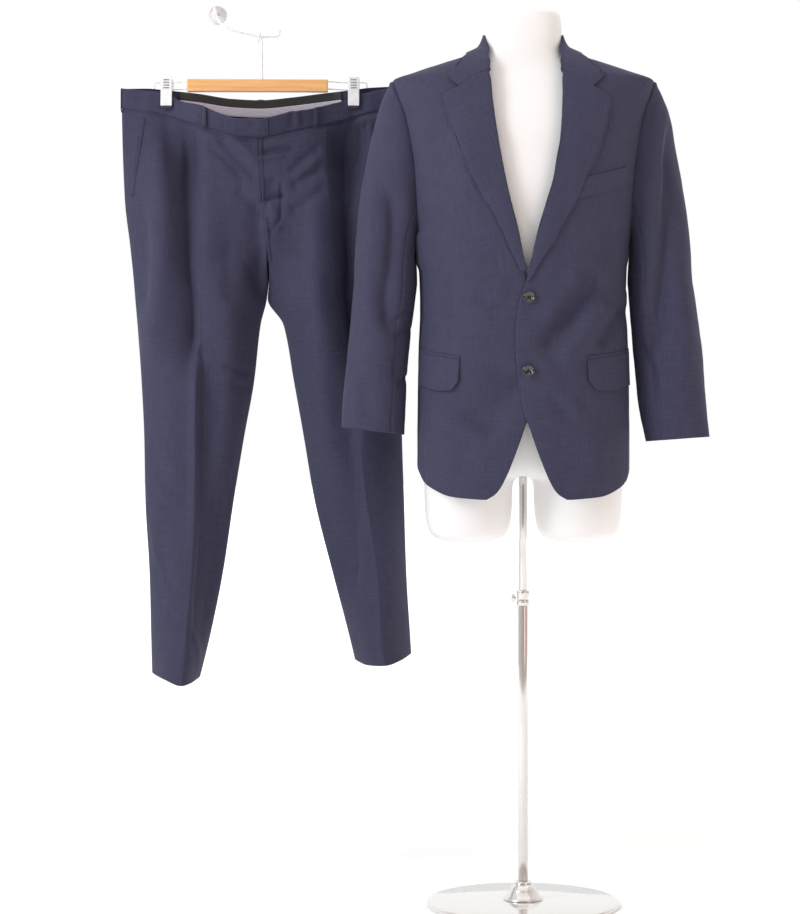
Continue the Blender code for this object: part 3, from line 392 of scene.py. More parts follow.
COAT = (worsted("jacket_worsted_cloth", 1.0), "jacket_worsted")

# Jacket body: two fronts, two side panels and two backs, bent to level sections of the body and
# sewn edge to edge.  Hem and front edges are turned in; soft creases come from the closing button.
SHOULDER_TIP_Z, NECK_POINT_Z, UNDERARM_Z, COLLAR_TOP_Z = 1.4043, 1.461, 1.135, 1.493
SUPERELLIPSE = 0.8
ARM_FRONT_SPREAD, ARM_BACK_SPREAD = 19.0, 22.0
ARM_FRONT_SEAM, ARM_BACK_SEAM = 141.0, 219.0
SIDE_FRONT_TURN, SIDE_BACK_TURN = 68, 113
LAYER = 0.0036
OVERLAP = 0.003
JACKET = metres(  # height, half width, front depth, back depth
    (680, 177, 126, 120), (760, 180, 130, 122), (850, 179.5, 131, 120), (940, 178, 130, 115),
    (1020, 175.5, 128, 111), (1100, 178, 133, 116), (1190, 188, 140, 124), (1280, 198, 136, 128),
    (1340, 208, 121, 124), (1385, 219.5, 101, 113), (1404.3, 222.5, 90, 105), (1418, 188, 82, 97),
    (1433, 143, 72, 88), (1448, 98.5, 61, 79), (1460, 75.5, 55, 75), (1471, 70, 52, 73),
    (1484, 67.5, 50, 72), (1496, 65, 49, 71),
)
HEM_Z = 1
JACKET_HEM = (  # turn, height
    (20, 0.6944), (40, 0.6992), (56, 0.7112), (68, 0.722), (80, 0.74), (92, 0.749), (113, 0.748),
    (145, 0.741), (180, 0.738),
)
FRONT_EDGE = metres(  # x, height
    (67, 694.4), (52, 704), (38, 725.5), (21.5, 765), (8.3, 801.5), (-1.7, 828), (-8.5, 857), (-13.7, 888),
    (-17.6, 925), (-18.6, 970), (-16.3, 1002), (-9.6, 1031), (-2.5, 1050),
)
ROLL_LEFT = metres(
    (7.5, 1086), (13, 1112), (19.3, 1140), (34.2, 1190), (44.1, 1223), (49.8, 1257), (56.4, 1293),
    (59.4, 1330), (61.8, 1365), (62.2, 1390), (61.2, 1411),
)
ROLL_RIGHT = metres(
    (5.5, 1085), (9, 1100), (16.8, 1140), (29.8, 1190), (37.2, 1223), (43.8, 1257), (49.8, 1293),
    (55.2, 1330), (58.8, 1365), (60.2, 1390), (61.2, 1411),
)

# Soft troughs and ridges: how high, how wide to the left and the right as seen, then a way of (x, z)
# that runs downwards
SIDE_FOLDS = metres(
    (6, 16, 16, (-181, 1150), (-180, 1110), (-179, 1080)),
    (-2.2, 14, 14, (179, 1100), (177, 1075), (175, 1040)),
)
COAT_FOLDS = SIDE_FOLDS + metres(
    (-1.8, 3, 3, (-126.2, 1110), (-127.4, 1058), (-127.9, 956), (-127.5, 930)),
    (-1.8, 3, 3, (115, 1110), (116.3, 1065), (116.3, 982), (115.5, 950)),
    (-13.2, 17, 22, (125, 1085), (108.1, 1055), (63.3, 992), (16.9, 926)),
    (14, 15, 19, (140, 1030), (121.3, 1009), (79.9, 951), (45, 918)),
    (6, 16, 14, (95, 1075), (62, 1030), (24, 985)),
    (-9.5, 9, 12, (169, 1030), (161.1, 1009), (137.9, 976), (116.3, 941)),
    (-15, 56, 18, (-4, 915), (-20, 880), (-44.5, 851), (-77.7, 793)),
    (-3.3, 7, 10, (-94.2, 1030), (-70, 1024), (-44.5, 1017), (-20, 1026)),
    (3.3, 12, 12, (-96, 1046), (-60, 1040), (-25, 1040)),
    (-3, 9, 12, (79.9, 868), (90, 856), (104.7, 843)),
    (-3.6, 10, 14, (35.1, 872), (56, 846), (85, 820)),
    (3.9, 16, 16, (30, 895), (60, 868), (95, 838)),
    (-6, 20, 24, (-156, 1200), (-148, 1120), (-146, 1040), (-150, 960)),
    (-6.7, 18, 20, (160, 1240), (148, 1170), (135, 1110), (118, 1075)),
    (4.5, 20, 24, (-115, 1330), (-100, 1260), (-90, 1180)),
    (-3.9, 24, 20, (-150, 1320), (-146, 1260), (-136, 1190)),
    (3.6, 20, 20, (150, 1360), (138, 1300), (125, 1250)),
    (-5.3, 26, 30, (-100, 860), (-105, 790), (-108, 715)),
    (5.3, 24, 28, (108, 820), (112, 760), (115, 700)),
)
BACK_FOLDS = SIDE_FOLDS + metres(
    (-6, 26, 22, (-125, 1090), (-80, 1045), (-25, 1010)),
    (-5, 22, 26, (115, 1075), (70, 1030), (20, 1000)),
    (5.5, 26, 26, (-100, 1040), (-45, 1000), (10, 975)),
    (-5, 30, 26, (-130, 1330), (-118, 1220), (-114, 1110)),
    (-4.5, 26, 32, (128, 1310), (112, 1210), (108, 1120)),
    (-3, 40, 14, (-80, 1440), (0, 1425), (80, 1440)),
    (-4.5, 30, 30, (-75, 930), (-80, 830), (-78, 745)),
    (-4, 28, 32, (70, 900), (76, 810), (74, 745)),
)


def smooth(value):
    value = np.clip(value, 0.0, 1.0)
    return value * value * (3 - 2 * value)


def path(points, scale=0.003):
    """A smooth way through (turn, z) points, as a function of its share from 0 to 1."""
    rows = [(0.0, *points[0])]
    for point in points[1:]:
        step = math.hypot((point[0] - rows[-1][1]) * scale, point[1] - rows[-1][2])
        rows.append((rows[-1][0] + step, *point))
    length = rows[-1][0]
    table = tuple(tuple(float(number) for number in row) for row in rows)
    return lambda share: (read(table, share * length, 1), read(table, share * length, 2))


def folds(table, x, z):
    """Height that a table's troughs and ridges give at x and z."""
    total = np.zeros_like(x)
    for rise, left, right, *way in table:
        line = np.stack(path(way, 1.0)(np.linspace(0, 1, 14)), axis=-1)
        nearest, share, side = np.full_like(x, 9.0), np.zeros_like(x), np.zeros_like(x)
        for k, (start, step) in enumerate(zip(line[:-1], np.diff(line, axis=0))):
            t = np.clip(((x - start[0]) * step[0] + (z - start[1]) * step[1]) / (step @ step), 0.0, 1.0)
            off_x, off_z = x - start[0] - t * step[0], z - start[1] - t * step[1]
            away = np.hypot(off_x, off_z)
            closer = away < nearest
            nearest = np.where(closer, away, nearest)
            share = np.where(closer, (k + t) / (len(line) - 1), share)
            side = np.where(closer, step[0] * off_z - step[1] * off_x, side)
        width = np.where(side > 0, right, left)
        total += rise * np.exp(-(nearest / width) ** 2) * smooth(share * 5) * smooth((1 - share) * 5)
    return total


def unevenness(x, y, z):
    """A slight rumple of under half a millimetre, as pressed cloth keeps."""
    broad = np.sin(61 * x + 1.9 * np.sin(23 * z + 3 * y)) * np.sin(47 * z + 1.6 * np.sin(31 * x))
    fine = np.sin(133 * x + 40 * y + 2.2 * np.sin(57 * z)) * np.sin(97 * z + 2.0 * np.sin(71 * x))
    return 0.00022 * broad + 0.00012 * fine


def coat_rise(points):
    x, y, z = np.moveaxis(points, -1, 0)
    return (folds(COAT_FOLDS, x, z) * smooth((0.02 - y) / 0.05)
            + folds(BACK_FOLDS, x, z) * smooth(y / 0.05) + unevenness(x, y, z))


def unit(vectors):
    return vectors / np.maximum(np.linalg.norm(vectors, axis=-1, keepdims=True), 1e-12)


def facing(points):
    """Outward direction at each point of a grid of them."""
    return unit(np.cross(np.gradient(points, axis=1), np.gradient(points, axis=0)))


def run_along(points, axis):
    """Distance along each line of a grid of points, from its start."""
    steps = np.linalg.norm(np.diff(points, axis=axis), axis=-1)
    return np.insert(np.cumsum(steps, axis=axis), 0, 0.0, axis=axis)


EDGE_STEP, SEWN_REACH = 0.0014, 0.0028


def cloth(name, stands_for, place, across, up, kind,
          tuck=(0.003, 0.003, 0.003, 0.003), dip=(0.0, 0.0, 0.0, 0.0), rise=None, wall=0.0014):
    """A cut piece of cloth: a flat grid moved to place(u, v), raised by its creases, sunk by dip
    along sewn edges and turned in by tuck, both in the order left, right, bottom, top."""
    coarse = place(*np.meshgrid(np.linspace(0, 1, 9), np.linspace(0, 1, 9)))
    shares = []
    for count, length in ((across, run_along(coarse, 1)[4, -1]), (up, run_along(coarse, 0)[-1, 4])):
        edge = EDGE_STEP / length
        shares.append(np.concatenate(([0.0, edge], np.linspace(0, 1, count + 1)[1:-1], [1 - edge, 1.0])))
    points = place(*np.meshgrid(*shares))
    if rise:
        points = points + facing(points) * rise(points)[..., None]
    out = facing(points)
    level, upward = run_along(points, 1), run_along(points, 0)
    for amount, run in zip(dip, (level, level[:, -1:] - level, upward, upward[-1:] - upward)):
        if amount:
            points = points - out * (amount * np.exp(-(run / SEWN_REACH) ** 2))[..., None]
    for side, depth in enumerate(tuck):
        if depth:
            axis, order = 1 - side // 2, slice(None, None, -1 if side % 2 else 1)
            edge, edge_out = (np.take(grid, [-(side % 2)], axis=axis) for grid in (points, out))
            points = np.concatenate((edge - edge_out * depth, points)[order], axis=axis)
            out = np.concatenate((edge_out, out)[order], axis=axis)
    rows, columns = points.shape[:2]
    grain_x, grain_y = run_along(points, 1), run_along(points, 0)[:, columns // 2]
    grain_x -= grain_x[:, columns // 2:columns // 2 + 1]

    grid = bmesh.new()
    bmesh.ops.create_grid(grid, x_segments=columns - 1, y_segments=rows - 1, size=0.5)
    grain = grid.loops.layers.uv.new("grain")
    spots = {}
    for vert in grid.verts:
        column, row = round((vert.co.x + 0.5) * (columns - 1)), round((vert.co.y + 0.5) * (rows - 1))
        spots[vert.index] = (grain_x[row, column], grain_y[row])
        vert.co = points[row, column]
    for face in grid.faces:
        for corner in face.loops:
            corner[grain].uv = spots[corner.vert.index]
    finish, slot = kind
    piece = finished(name, as_mesh(name, grid), finish, stands_for)
    body = piece.modifiers.new("wall", "SOLIDIFY")
    body.thickness = wall
    body.offset = 0
    return piece


def joined(first, second, share):
    """Two ways as one, the first of them taking up the given share."""
    def way(t):
        early, late = first(np.clip(t / share, 0, 1)), second(np.clip((t - share) / (1 - share), 0, 1))
        return tuple(np.where(t < share, early[k], late[k]) for k in range(2))
    return way


def patch(left, right, bottom, top):
    """A four-sided patch between edges that meet at its corners, as (turn, z)."""
    def place(u, v):
        spot = []
        for k in range(2):
            ruled = (1 - u) * left(v)[k] + u * right(v)[k] + (1 - v) * bottom(u)[k] + v * top(u)[k]
            near, far = ((1 - v) * bottom(end)[k] + v * top(end)[k] for end in (np.zeros(1), np.ones(1)))
            spot.append(ruled - (1 - u) * near - u * far)
        return spot
    return place


def jacket(turn, z, out=0.0):
    """Points of the jacket's body, moved out of its surface."""
    side = section(JACKET, turn + 1, z, SUPERELLIPSE) - section(JACKET, turn - 1, z, SUPERELLIPSE)
    rise = section(JACKET, turn, z + 0.002, SUPERELLIPSE) - section(JACKET, turn, z - 0.002, SUPERELLIPSE)
    away = unit(np.cross(side, rise))
    return section(JACKET, turn, z, SUPERELLIPSE) + away * np.asarray(out + 0.0 * z)[..., None]


def turn_at(x, z):
    """Turn of the front point at x."""
    return np.degrees(np.arcsin(bowed(np.clip(x / read(JACKET, z, HALF), -1.0, 1.0), 1 / SUPERELLIPSE)))


def front_path(points, then=()):
    """A way through (x, z) points of a front, then on through (turn, z) points."""
    return path([(turn_at(x, z), z) for x, z in points] + list(then))


def armhole(round_degrees):
    """Turn and height of the armhole's edge, round it from the shoulder over the front."""
    angle = np.radians(round_degrees)
    spread = np.where(np.sin(angle) > 0, -ARM_FRONT_SPREAD, ARM_BACK_SPREAD)
    middle = (SHOULDER_TIP_Z + UNDERARM_Z) / 2
    return (90 + spread * np.abs(np.sin(angle)) ** SUPERELLIPSE,
            middle + (SHOULDER_TIP_Z - UNDERARM_Z) / 2 * np.cos(angle))


def sided(place, side):
    """A piece drawn for the wearer's left; side -1 gives its mirror, with its faces still out."""
    return place if side > 0 else lambda u, v: place(1 - u, v)


def on_front(spot, side, out):
    """A (turn, z) spot of one front, as a point that far out of it."""
    turn, z = spot
    x = section(JACKET, turn, z, SUPERELLIPSE)[..., 0]
    over = OVERLAP * (1 - smooth((x - 0.03) / 0.035)) if side > 0 else 0.0
    return jacket(side * turn, z, out + over)


def hem_spot(turn):
    return turn, read(JACKET_HEM, turn, HEM_Z)


def mirrored(four, side):
    """Amounts for a piece's left, right, bottom and top edges, for either side."""
    return four if side > 0 else (four[1], four[0], *four[2:])


side_front = path([hem_spot(SIDE_FRONT_TURN), (70, 0.85), (71, 1.0), (74, 1.12), armhole(ARM_FRONT_SEAM)])
side_back = path([hem_spot(SIDE_BACK_TURN), (113, 0.85), (112, 1.0), (109, 1.12), armhole(ARM_BACK_SEAM)])
front_turn = turn_at(*FRONT_EDGE[0])
ARMHOLE_START, NECK_START = 11 / 18, 15 / 18
NECK_EDGE = ((0.064, 1.427), (0.069, 1.445), (0.077, 1.457))
for side, label, roll in ((1, "left", ROLL_LEFT), (-1, "right", ROLL_RIGHT)):
    front = patch(
        front_path(FRONT_EDGE + roll + NECK_EDGE, [(90, NECK_POINT_Z)]),
        joined(side_front, lambda t: armhole(ARM_FRONT_SEAM * (1 - t)), ARMHOLE_START),
        lambda u: hem_spot(front_turn + (SIDE_FRONT_TURN - front_turn) * u),
        path([(90, NECK_POINT_Z), (90, SHOULDER_TIP_Z)]),
    )
    flank = patch(
        side_front, side_back,
        lambda u: hem_spot(SIDE_FRONT_TURN + (SIDE_BACK_TURN - SIDE_FRONT_TURN) * u),
        lambda u: armhole(ARM_FRONT_SEAM + (ARM_BACK_SEAM - ARM_FRONT_SEAM) * u),
    )
    back = patch(
        joined(side_back, lambda t: armhole(ARM_BACK_SEAM + (360 - ARM_BACK_SEAM) * t), ARMHOLE_START),
        joined(path([(180, 0.738), (180, 0.95), (180, 1.2), (180, 1.449)]),
               path([(180, 1.449), (145, 1.451), (115, 1.457), (90, NECK_POINT_Z)]), NECK_START),
        lambda u: hem_spot(SIDE_BACK_TURN + (180 - SIDE_BACK_TURN) * u),
        path([(90, SHOULDER_TIP_Z), (90, NECK_POINT_Z)]),
    )
    for name, place, across, up, cut, area, tuck, dip in (
        ("front_", lambda u, v: on_front(front(u, v), side, 0.0), 64, 150, (0.31, 0.8), 0.165,
         (0.0022, 0.004, 0.0022, 0.004), (0.0, 0.0009, 0.0, 0.0007)),
        ("side_", lambda u, v: jacket(side * flank(u, v)[0], flank(u, v)[1]), 26, 90, (0.15, 0.45), 0.054,
         (0.004, 0.004, 0.0022, 0.004), (0.0009, 0.0009, 0.0, 0.0007)),
        ("back_", lambda u, v: jacket(side * back(u, v)[0], back(u, v)[1]), 52, 140, (0.26, 0.74), 0.148,
         (0.004, 0.004, 0.0022, 0.004), (0.0009, 0.0009, 0.0, 0.0007)),
    ):
        cloth("coat_" + name + label, "jacket_" + name + label, sided(place, side), across, up, COAT,
              tuck=mirrored(tuck, side), dip=mirrored(dip, side), rise=coat_rise)


# Collar and lapels: each lapel is the front's own facing turned back along a soft roll, and the
# collar's fall turns over the stand and is sewn to the lapels along the gorge, down to the notch.
LAPEL_LEFT = metres(  # x, height
    (5.4, 1061), (23.3, 1090), (41.4, 1115), (66.7, 1160), (84.7, 1192), (98.9, 1228), (111.7, 1253),
    (124.4, 1290), (135.2, 1329), (143, 1362.3),
)
LAPEL_RIGHT = metres(
    (9, 1071.5), (18, 1087), (40, 1135), (63.1, 1178), (84.2, 1217), (101.8, 1257), (117.6, 1297),
    (130.6, 1333), (141.2, 1365.3),
)
NOTCH = (0.1098, 1.382)
COLLAR_TIP = (0.1272, 1.3985)
ROLL_RADIUS, ROLL_TURN = 0.0021, math.radians(165)
LAPEL_ROLL_SHARE, COLLAR_ROLL_SHARE = 0.08, 0.07
CROWN = 0.0016


def rolled(flat, share, along_v=False):
    """The same surface with its first share of u (or last of v) wrapped inwards round a soft roll."""
    def place(u, v):
        run = (1 - v) if along_v else u
        on = np.clip((run - share) / (1 - share), 0, 1)
        bend = np.clip(1 - run / share, 0, 1) * ROLL_TURN
        edge, ahead = (flat(u, 1 - way) if along_v else flat(way, v) for way in (on, on + 0.03))
        return (edge + unit(edge - ahead) * (ROLL_RADIUS * np.sin(bend))[..., None]
                - facing(edge) * (ROLL_RADIUS * (1 - np.cos(bend)))[..., None])
    return place


def lapel_place(u, v):
    crown = CROWN * np.sin(math.pi * np.clip(u, 0, 1)) * smooth(v * 4)
    return on_front(lapel(u, v), side, LAYER + crown)


for side, label, foot, roll, outer in (
    (1, "left", (-0.001, 1.055), ROLL_LEFT, LAPEL_LEFT),
    (-1, "right", (0.002, 1.074), ROLL_RIGHT, LAPEL_RIGHT),
):
    lapel = patch(
        front_path((foot,) + roll), front_path(outer), front_path((foot, outer[0])),
        joined(front_path((roll[-1], NOTCH)), front_path((NOTCH, outer[-1])), 0.6),
    )
    cloth("coat_lapel_" + label, "lapel_" + label, sided(rolled(lapel_place, LAPEL_ROLL_SHARE), side),
          44, 100, COAT,
          tuck=mirrored((0.0, 0.0016, 0.001, 0.0016), side), rise=coat_rise)

fall_tip = joined(front_path((COLLAR_TIP, NOTCH)), front_path((NOTCH, ROLL_LEFT[-1])), 0.25)
fall_outer = front_path((COLLAR_TIP, (0.117, 1.417), (0.106, 1.432), (0.096, 1.444)),
                        ((95, 1.45), (115, 1.445), (145, 1.437), (180, 1.433)))
fall_crest = front_path((ROLL_LEFT[-1], (0.0608, 1.429), (0.063, 1.45), (0.0645, 1.466)),
                        ((90, 1.484), (130, 1.49), (180, COLLAR_TOP_Z)))


def fall(along, v):
    """Turn and height on the collar's fall, ruled from outer edge to crest and bent to the notch."""
    outer, crest, tip = fall_outer(along), fall_crest(along), fall_tip(v)
    start, end = fall_outer(0 * along), fall_crest(0 * along)
    near_tip = 1 - smooth(along / 0.18)
    return [outer[k] + (crest[k] - outer[k]) * v + near_tip * (tip[k] - start[k] - (end[k] - start[k]) * v)
            for k in range(2)]


def fall_point(u, v):
    away = 1 - np.abs(2 * u - 1)
    turn, z = fall(away, v)
    crown = CROWN * np.sin(math.pi * v) * (1 - np.abs(2 * u - 1) ** 4)
    stand_off = (LAYER + 0.0008) * (1 - 0.8 * smooth(v) * smooth(away / 0.15)) + crown
    return jacket(np.where(u < 0.5, turn, -turn), z, stand_off)


cloth("coat_collar_fall", "collar_fall", rolled(fall_point, COLLAR_ROLL_SHARE, along_v=True), 150, 26, COAT,
      tuck=(0.0016, 0.0016, 0.0016, 0.0))
stand_base = path([(60, 1.4605), (90, 1.4632), (115, 1.4592), (145, 1.4532), (180, 1.4512)])
stand_crest = path([(60, 1.4665), (90, 1.481), (130, 1.487), (180, 1.49)])


def stand_point(u, v):
    low, high = stand_base(1 - np.abs(2 * u - 1)), stand_crest(1 - np.abs(2 * u - 1))
    turn = low[0] + (high[0] - low[0]) * v
    return jacket(np.where(u < 0.5, turn, -turn), low[1] - 0.003 + (high[1] - low[1] + 0.003) * v, -0.001)


cloth("coat_collar_stand", "collar_stand", stand_point, 90, 8, COAT,
      tuck=(0.001, 0.001, 0.001, 0.0))


# Pockets: two flaps in single jets set into the fronts, the flaps' front corners cut round, and a
# slanting welt on the wearer's left breast.  All are the suit's own cloth, lined and turned.
def quad(corners, side, out):
    """A patch of a front between corners: lower inner, lower outer, upper inner, upper outer."""
    spots = [(turn_at(x, z), z) for x, z in corners]

    def place(u, v):
        low, high = ([near + (far - near) * u for near, far in zip(*pair)] for pair in (spots[:2], spots[2:]))
        return on_front([start + (end - start) * v for start, end in zip(low, high)], side, out)
    return place


FLAP_TOP_Z, FLAP_LOW_Z, FLAP_END_TURN = 0.9265, 0.876, 78


def flap(u, v):
    top = FLAP_TOP_Z + 0.0165 * u
    low = FLAP_LOW_Z + 0.011 * smooth((u - 0.25) / 0.75) + 0.014 * (1 - smooth(u / 0.16)) ** 2
    hang = 0.003 * (1 - v) * (1 - 0.8 * u) + 0.0012 * np.sin(math.pi * u) * (1 - v)
    turn = flap_start + (FLAP_END_TURN - flap_start) * u + 0.8 * (1 - v) * (1 - u)
    return jacket(side * turn, low + (top - low) * v, 0.0022 + hang)


for side, label, inner in ((1, "left", 0.1005), (-1, "right", 0.111)):
    flap_start = turn_at(inner, FLAP_TOP_Z)
    jet = ((inner, 0.927), (0.1755, 0.944), (inner, 0.932), (0.1757, 0.949))
    cloth("coat_jet_" + label, "pocket_jet_" + label, sided(quad(jet, side, 0.0017), side), 40, 3, COAT,
          tuck=(0.0012, 0.0012, 0.0012, 0.0012), rise=coat_rise,
          wall=0.001)
    cloth("coat_flap_" + label, "pocket_flap_" + label, sided(flap, side), 46, 22, COAT,
          tuck=(0.0012, 0.0012, 0.0014, 0.0006), rise=coat_rise)
welt_corners = ((0.076, 1.1925), (0.1645, 1.2161), (0.09, 1.2265), (0.1661, 1.25))
cloth("coat_breast_welt", "breast_welt", quad(welt_corners, 1, 0.0024), 36, 20, COAT,
      tuck=(0.0012, 0.0012, 0.0008, 0.0016), rise=coat_rise)


# Sleeves: a top sleeve and an under sleeve each, sewn to a tube that hangs with a slight forward
# bend, its head eased into the armhole so that it stands a little full.  The cuffs are open.
SIDE, SLEEVE_Y, ACROSS, DEEP = range(1, 5)
SLEEVES = {  # height, middle from the centre, middle in depth, half across, half deep
    1: metres((785, 262.5, -30, 53.5, 36), (850, 252.5, -26, 56.5, 48), (940, 245.5, -18, 58, 58),
              (1060, 233, -6, 54, 68)),
    -1: metres((785, 257, -30, 53, 36), (850, 254.5, -26, 53, 48), (940, 247.5, -18, 51.5, 58),
               (1060, 234.5, -6, 53, 68)),
}
CUFFS = {1: (0.792, 0.8), -1: (0.8035, 0.816)}    # inner and outer ends of the cuff's edge
FOREARM_SEAM, HINDARM_SEAM = 126.0, -120.0
CAP_BASE_Z, CAP_SHARE = 1.06, 0.42
SLEEVE_FOLDS = metres(
    (-13, 14, 20, (-233.9, 1240), (-222.1, 1148), (-227.2, 1081), (-235.6, 1030), (-227.2, 985),
     (-210.3, 954)),
    (6, 16, 12, (-262, 1260), (-260, 1160), (-265, 1060), (-266, 970)),
    (-3.3, 4, 6, (-190, 1018), (-200, 1008), (-214, 996), (-224, 990)),
    (-3.6, 5, 6, (-190, 990), (-204, 976), (-220, 962)),
    (-3.3, 5, 6, (-196, 905), (-208, 893), (-218, 886)),
    (-3, 6, 5, (-205, 945), (-216, 925), (-219, 900)),
    (9, 12, 10, (234, 1375), (230.3, 1330), (226.9, 1283), (225.2, 1200)),
    (-18.5, 12, 26, (243.8, 1335), (242.1, 1233), (235.3, 1140), (225.2, 1047), (211.7, 930)),
    (-3.3, 5, 6, (193, 1010), (204, 996), (218, 985)),
    (-3.6, 6, 6, (194, 960), (206, 930), (216, 900), (223, 860)),
    (-3, 6, 5, (236, 862), (248, 852), (260, 850)),
    (4.5, 18, 18, (270, 1080), (268, 980), (270, 880)),
    (-4.5, 16, 16, (-275, 900), (-268, 860), (-264, 815)),
)
SLEEVE_BACK_FOLDS = metres(
    (-6, 18, 22, (-235, 1260), (-245, 1150), (-245, 1040)),
    (-5.5, 20, 16, (235, 1270), (243, 1160), (242, 1060)),
    (3.5, 10, 12, (-285, 1010), (-250, 985), (-210, 980)),
    (3.5, 12, 10, (285, 1000), (250, 975), (210, 970)),
)


def sleeve_rise(points):
    x, y, z = np.moveaxis(points, -1, 0)
    off_body = np.where(z > UNDERARM_Z - 0.01, np.abs(x) - 0.965 * read(JACKET, z, HALF), 1.0)
    rise = (folds(SLEEVE_FOLDS, x, z) * smooth((0.01 - y) / 0.035)
            + folds(SLEEVE_BACK_FOLDS, x, z) * smooth((y + 0.01) / 0.035) + 1.5 * unevenness(x, y, z))
    return smooth(off_body / 0.025) * rise * smooth((1.39 - z) / 0.03)


def sleeve_point(side, around, v):
    """Points of a sleeve, around in degrees from its outer side over the front, v from cuff to head."""
    angle = np.radians(around)
    table = SLEEVES[side]

    def tube(z):
        return points_at(side * (read(table, z, SIDE) + read(table, z, ACROSS) * np.cos(angle)),
                         read(table, z, SLEEVE_Y) - read(table, z, DEEP) * np.sin(angle), z)

    inner_z, outer_z = CUFFS[side]
    edge = inner_z + (outer_z - inner_z) * (1 + np.cos(angle)) / 2
    straight = tube(edge + (CAP_BASE_Z - edge) * np.clip(v / (1 - CAP_SHARE), 0, 1))
    turn, z = armhole(around % 360)
    head = jacket(side * turn, z, coat_rise(jacket(side * turn, z)) - 0.001)
    base = tube(CAP_BASE_Z + 0.0 * z)
    rise = np.linalg.norm(base - head, axis=-1, keepdims=True)
    t = np.clip((1 - v) / CAP_SHARE, 0, 1)[..., None]
    leave = points_at(side * 0.24, -0.16 * np.sin(angle), -0.14) * rise
    full = 0.0022 * np.exp(-((t - 0.035) / 0.035) ** 2) * np.clip(np.cos(angle) + 0.25, 0, 1)[..., None]
    cap = eased(t, head, leave, base, np.array((0.0, 0.0, -1.15)) * rise) + np.array((side, 0.0, 1.0)) * full
    return np.where((v <= 1 - CAP_SHARE)[..., None], straight, cap)


for side, label in ((1, "left"), (-1, "right")):
    for half, start, end, across, cut, area in (
        ("top", FOREARM_SEAM, HINDARM_SEAM, 84, (0.26, 0.62), 0.145),
        ("under", 360 + HINDARM_SEAM, FOREARM_SEAM, 40, (0.15, 0.52), 0.06),
    ):
        cloth(f"coat_{half}_sleeve_{label}", f"sleeve_{half}_{label}",
              sided(lambda u, v: sleeve_point(side, start + (end - start) * u, v), side), across, 130, COAT,
              tuck=(0.003, 0.003, 0.0022, 0.004), dip=(0.0008, 0.0008, 0.0, 0.0), rise=sleeve_rise)


# Buttons: two dark horn-like buttons, turned with a rounded rim and a dished middle, each sewn on
# through four holes with a crossed shank of navy thread.
horn = surface("dark_horn", (0.012, 0.011, 0.012), 0.1, stretch=(60, 60, 260),
               tones=((1.0, 5.0, 0.65), 0.42, 0.72, (0.003, 0.003, 0.004), (0.022, 0.019, 0.018)),
               more={"Coat Weight": 1.0, "Coat Roughness": 0.04, "Coat IOR": 1.55})
thread_navy = surface("navy_sewing_thread", (0.02, 0.02, 0.036), 0.55, relief=((2600.0, 2.0), 0.4, 0.0002))
BUTTON_PROFILE = ((0, -0.0006), (0.006, -0.0006), (0.0066, 0.0), (0.0078, 0.0009), (0.009, 0.0011),
                  (0.0099, 0.0006), (0.0102, -0.0003), (0.0098, -0.0012), (0.008, -0.0018), (0, -0.0019))
HOLE_REACH, HOLE_RADIUS, THREAD_RADIUS, THREAD_APART = 0.0017, 0.00075, 0.00024, 0.00025


def rod(shape, place, radius, length, segments):
    bmesh.ops.create_cone(shape, cap_ends=True, segments=segments, radius1=radius, radius2=radius,
                          depth=length, matrix=place)


for label, x, z, spin_turn in (("upper", 0.0036, 1.0295, 10), ("lower", 0.002, 0.9073, 52)):
    seat = Vector(on_front((turn_at(x, z), z), 1, LAYER)) + Vector((0, -0.0016, 0))
    upright = (Matrix.Translation(seat) @ Matrix.Rotation(math.radians(90), 4, "X")
               @ Matrix.Rotation(math.radians(spin_turn), 4, "Z"))
    button = spun("coat_button_" + label, BUTTON_PROFILE, horn, "button_" + label, 0, 48,
                  upright)
    bits, strands = bmesh.new(), bmesh.new()
    for turn in (45, 135, 225, 315):
        angle = math.radians(turn)
        hole = (HOLE_REACH * math.cos(angle), HOLE_REACH * math.sin(angle), 0)
        rod(bits, upright @ Matrix.Translation(hole), HOLE_RADIUS, 0.008, 14)
    for turn in (45, 135):
        lying = (upright @ Matrix.Translation((0, 0, -0.0002)) @ Matrix.Rotation(math.radians(turn), 4, "Z")
                 @ Matrix.Rotation(math.radians(90), 4, "Y"))
        for shift in (-THREAD_APART, THREAD_APART):
            rod(strands, lying @ Matrix.Translation((0, shift, 0)), THREAD_RADIUS, 0.0036, 10)
    drill = placed("drill", as_mesh("drill", bits))
    cut_holes = button.modifiers.new("holes", "BOOLEAN")
    cut_holes.operation = "DIFFERENCE"
    cut_holes.solver = "EXACT"
    cut_holes.object = drill
    kept_shape(button)
    bpy.data.objects.remove(drill, do_unlink=True)
    finished("coat_button_thread_" + label, as_mesh("thread", strands), thread_navy, None)


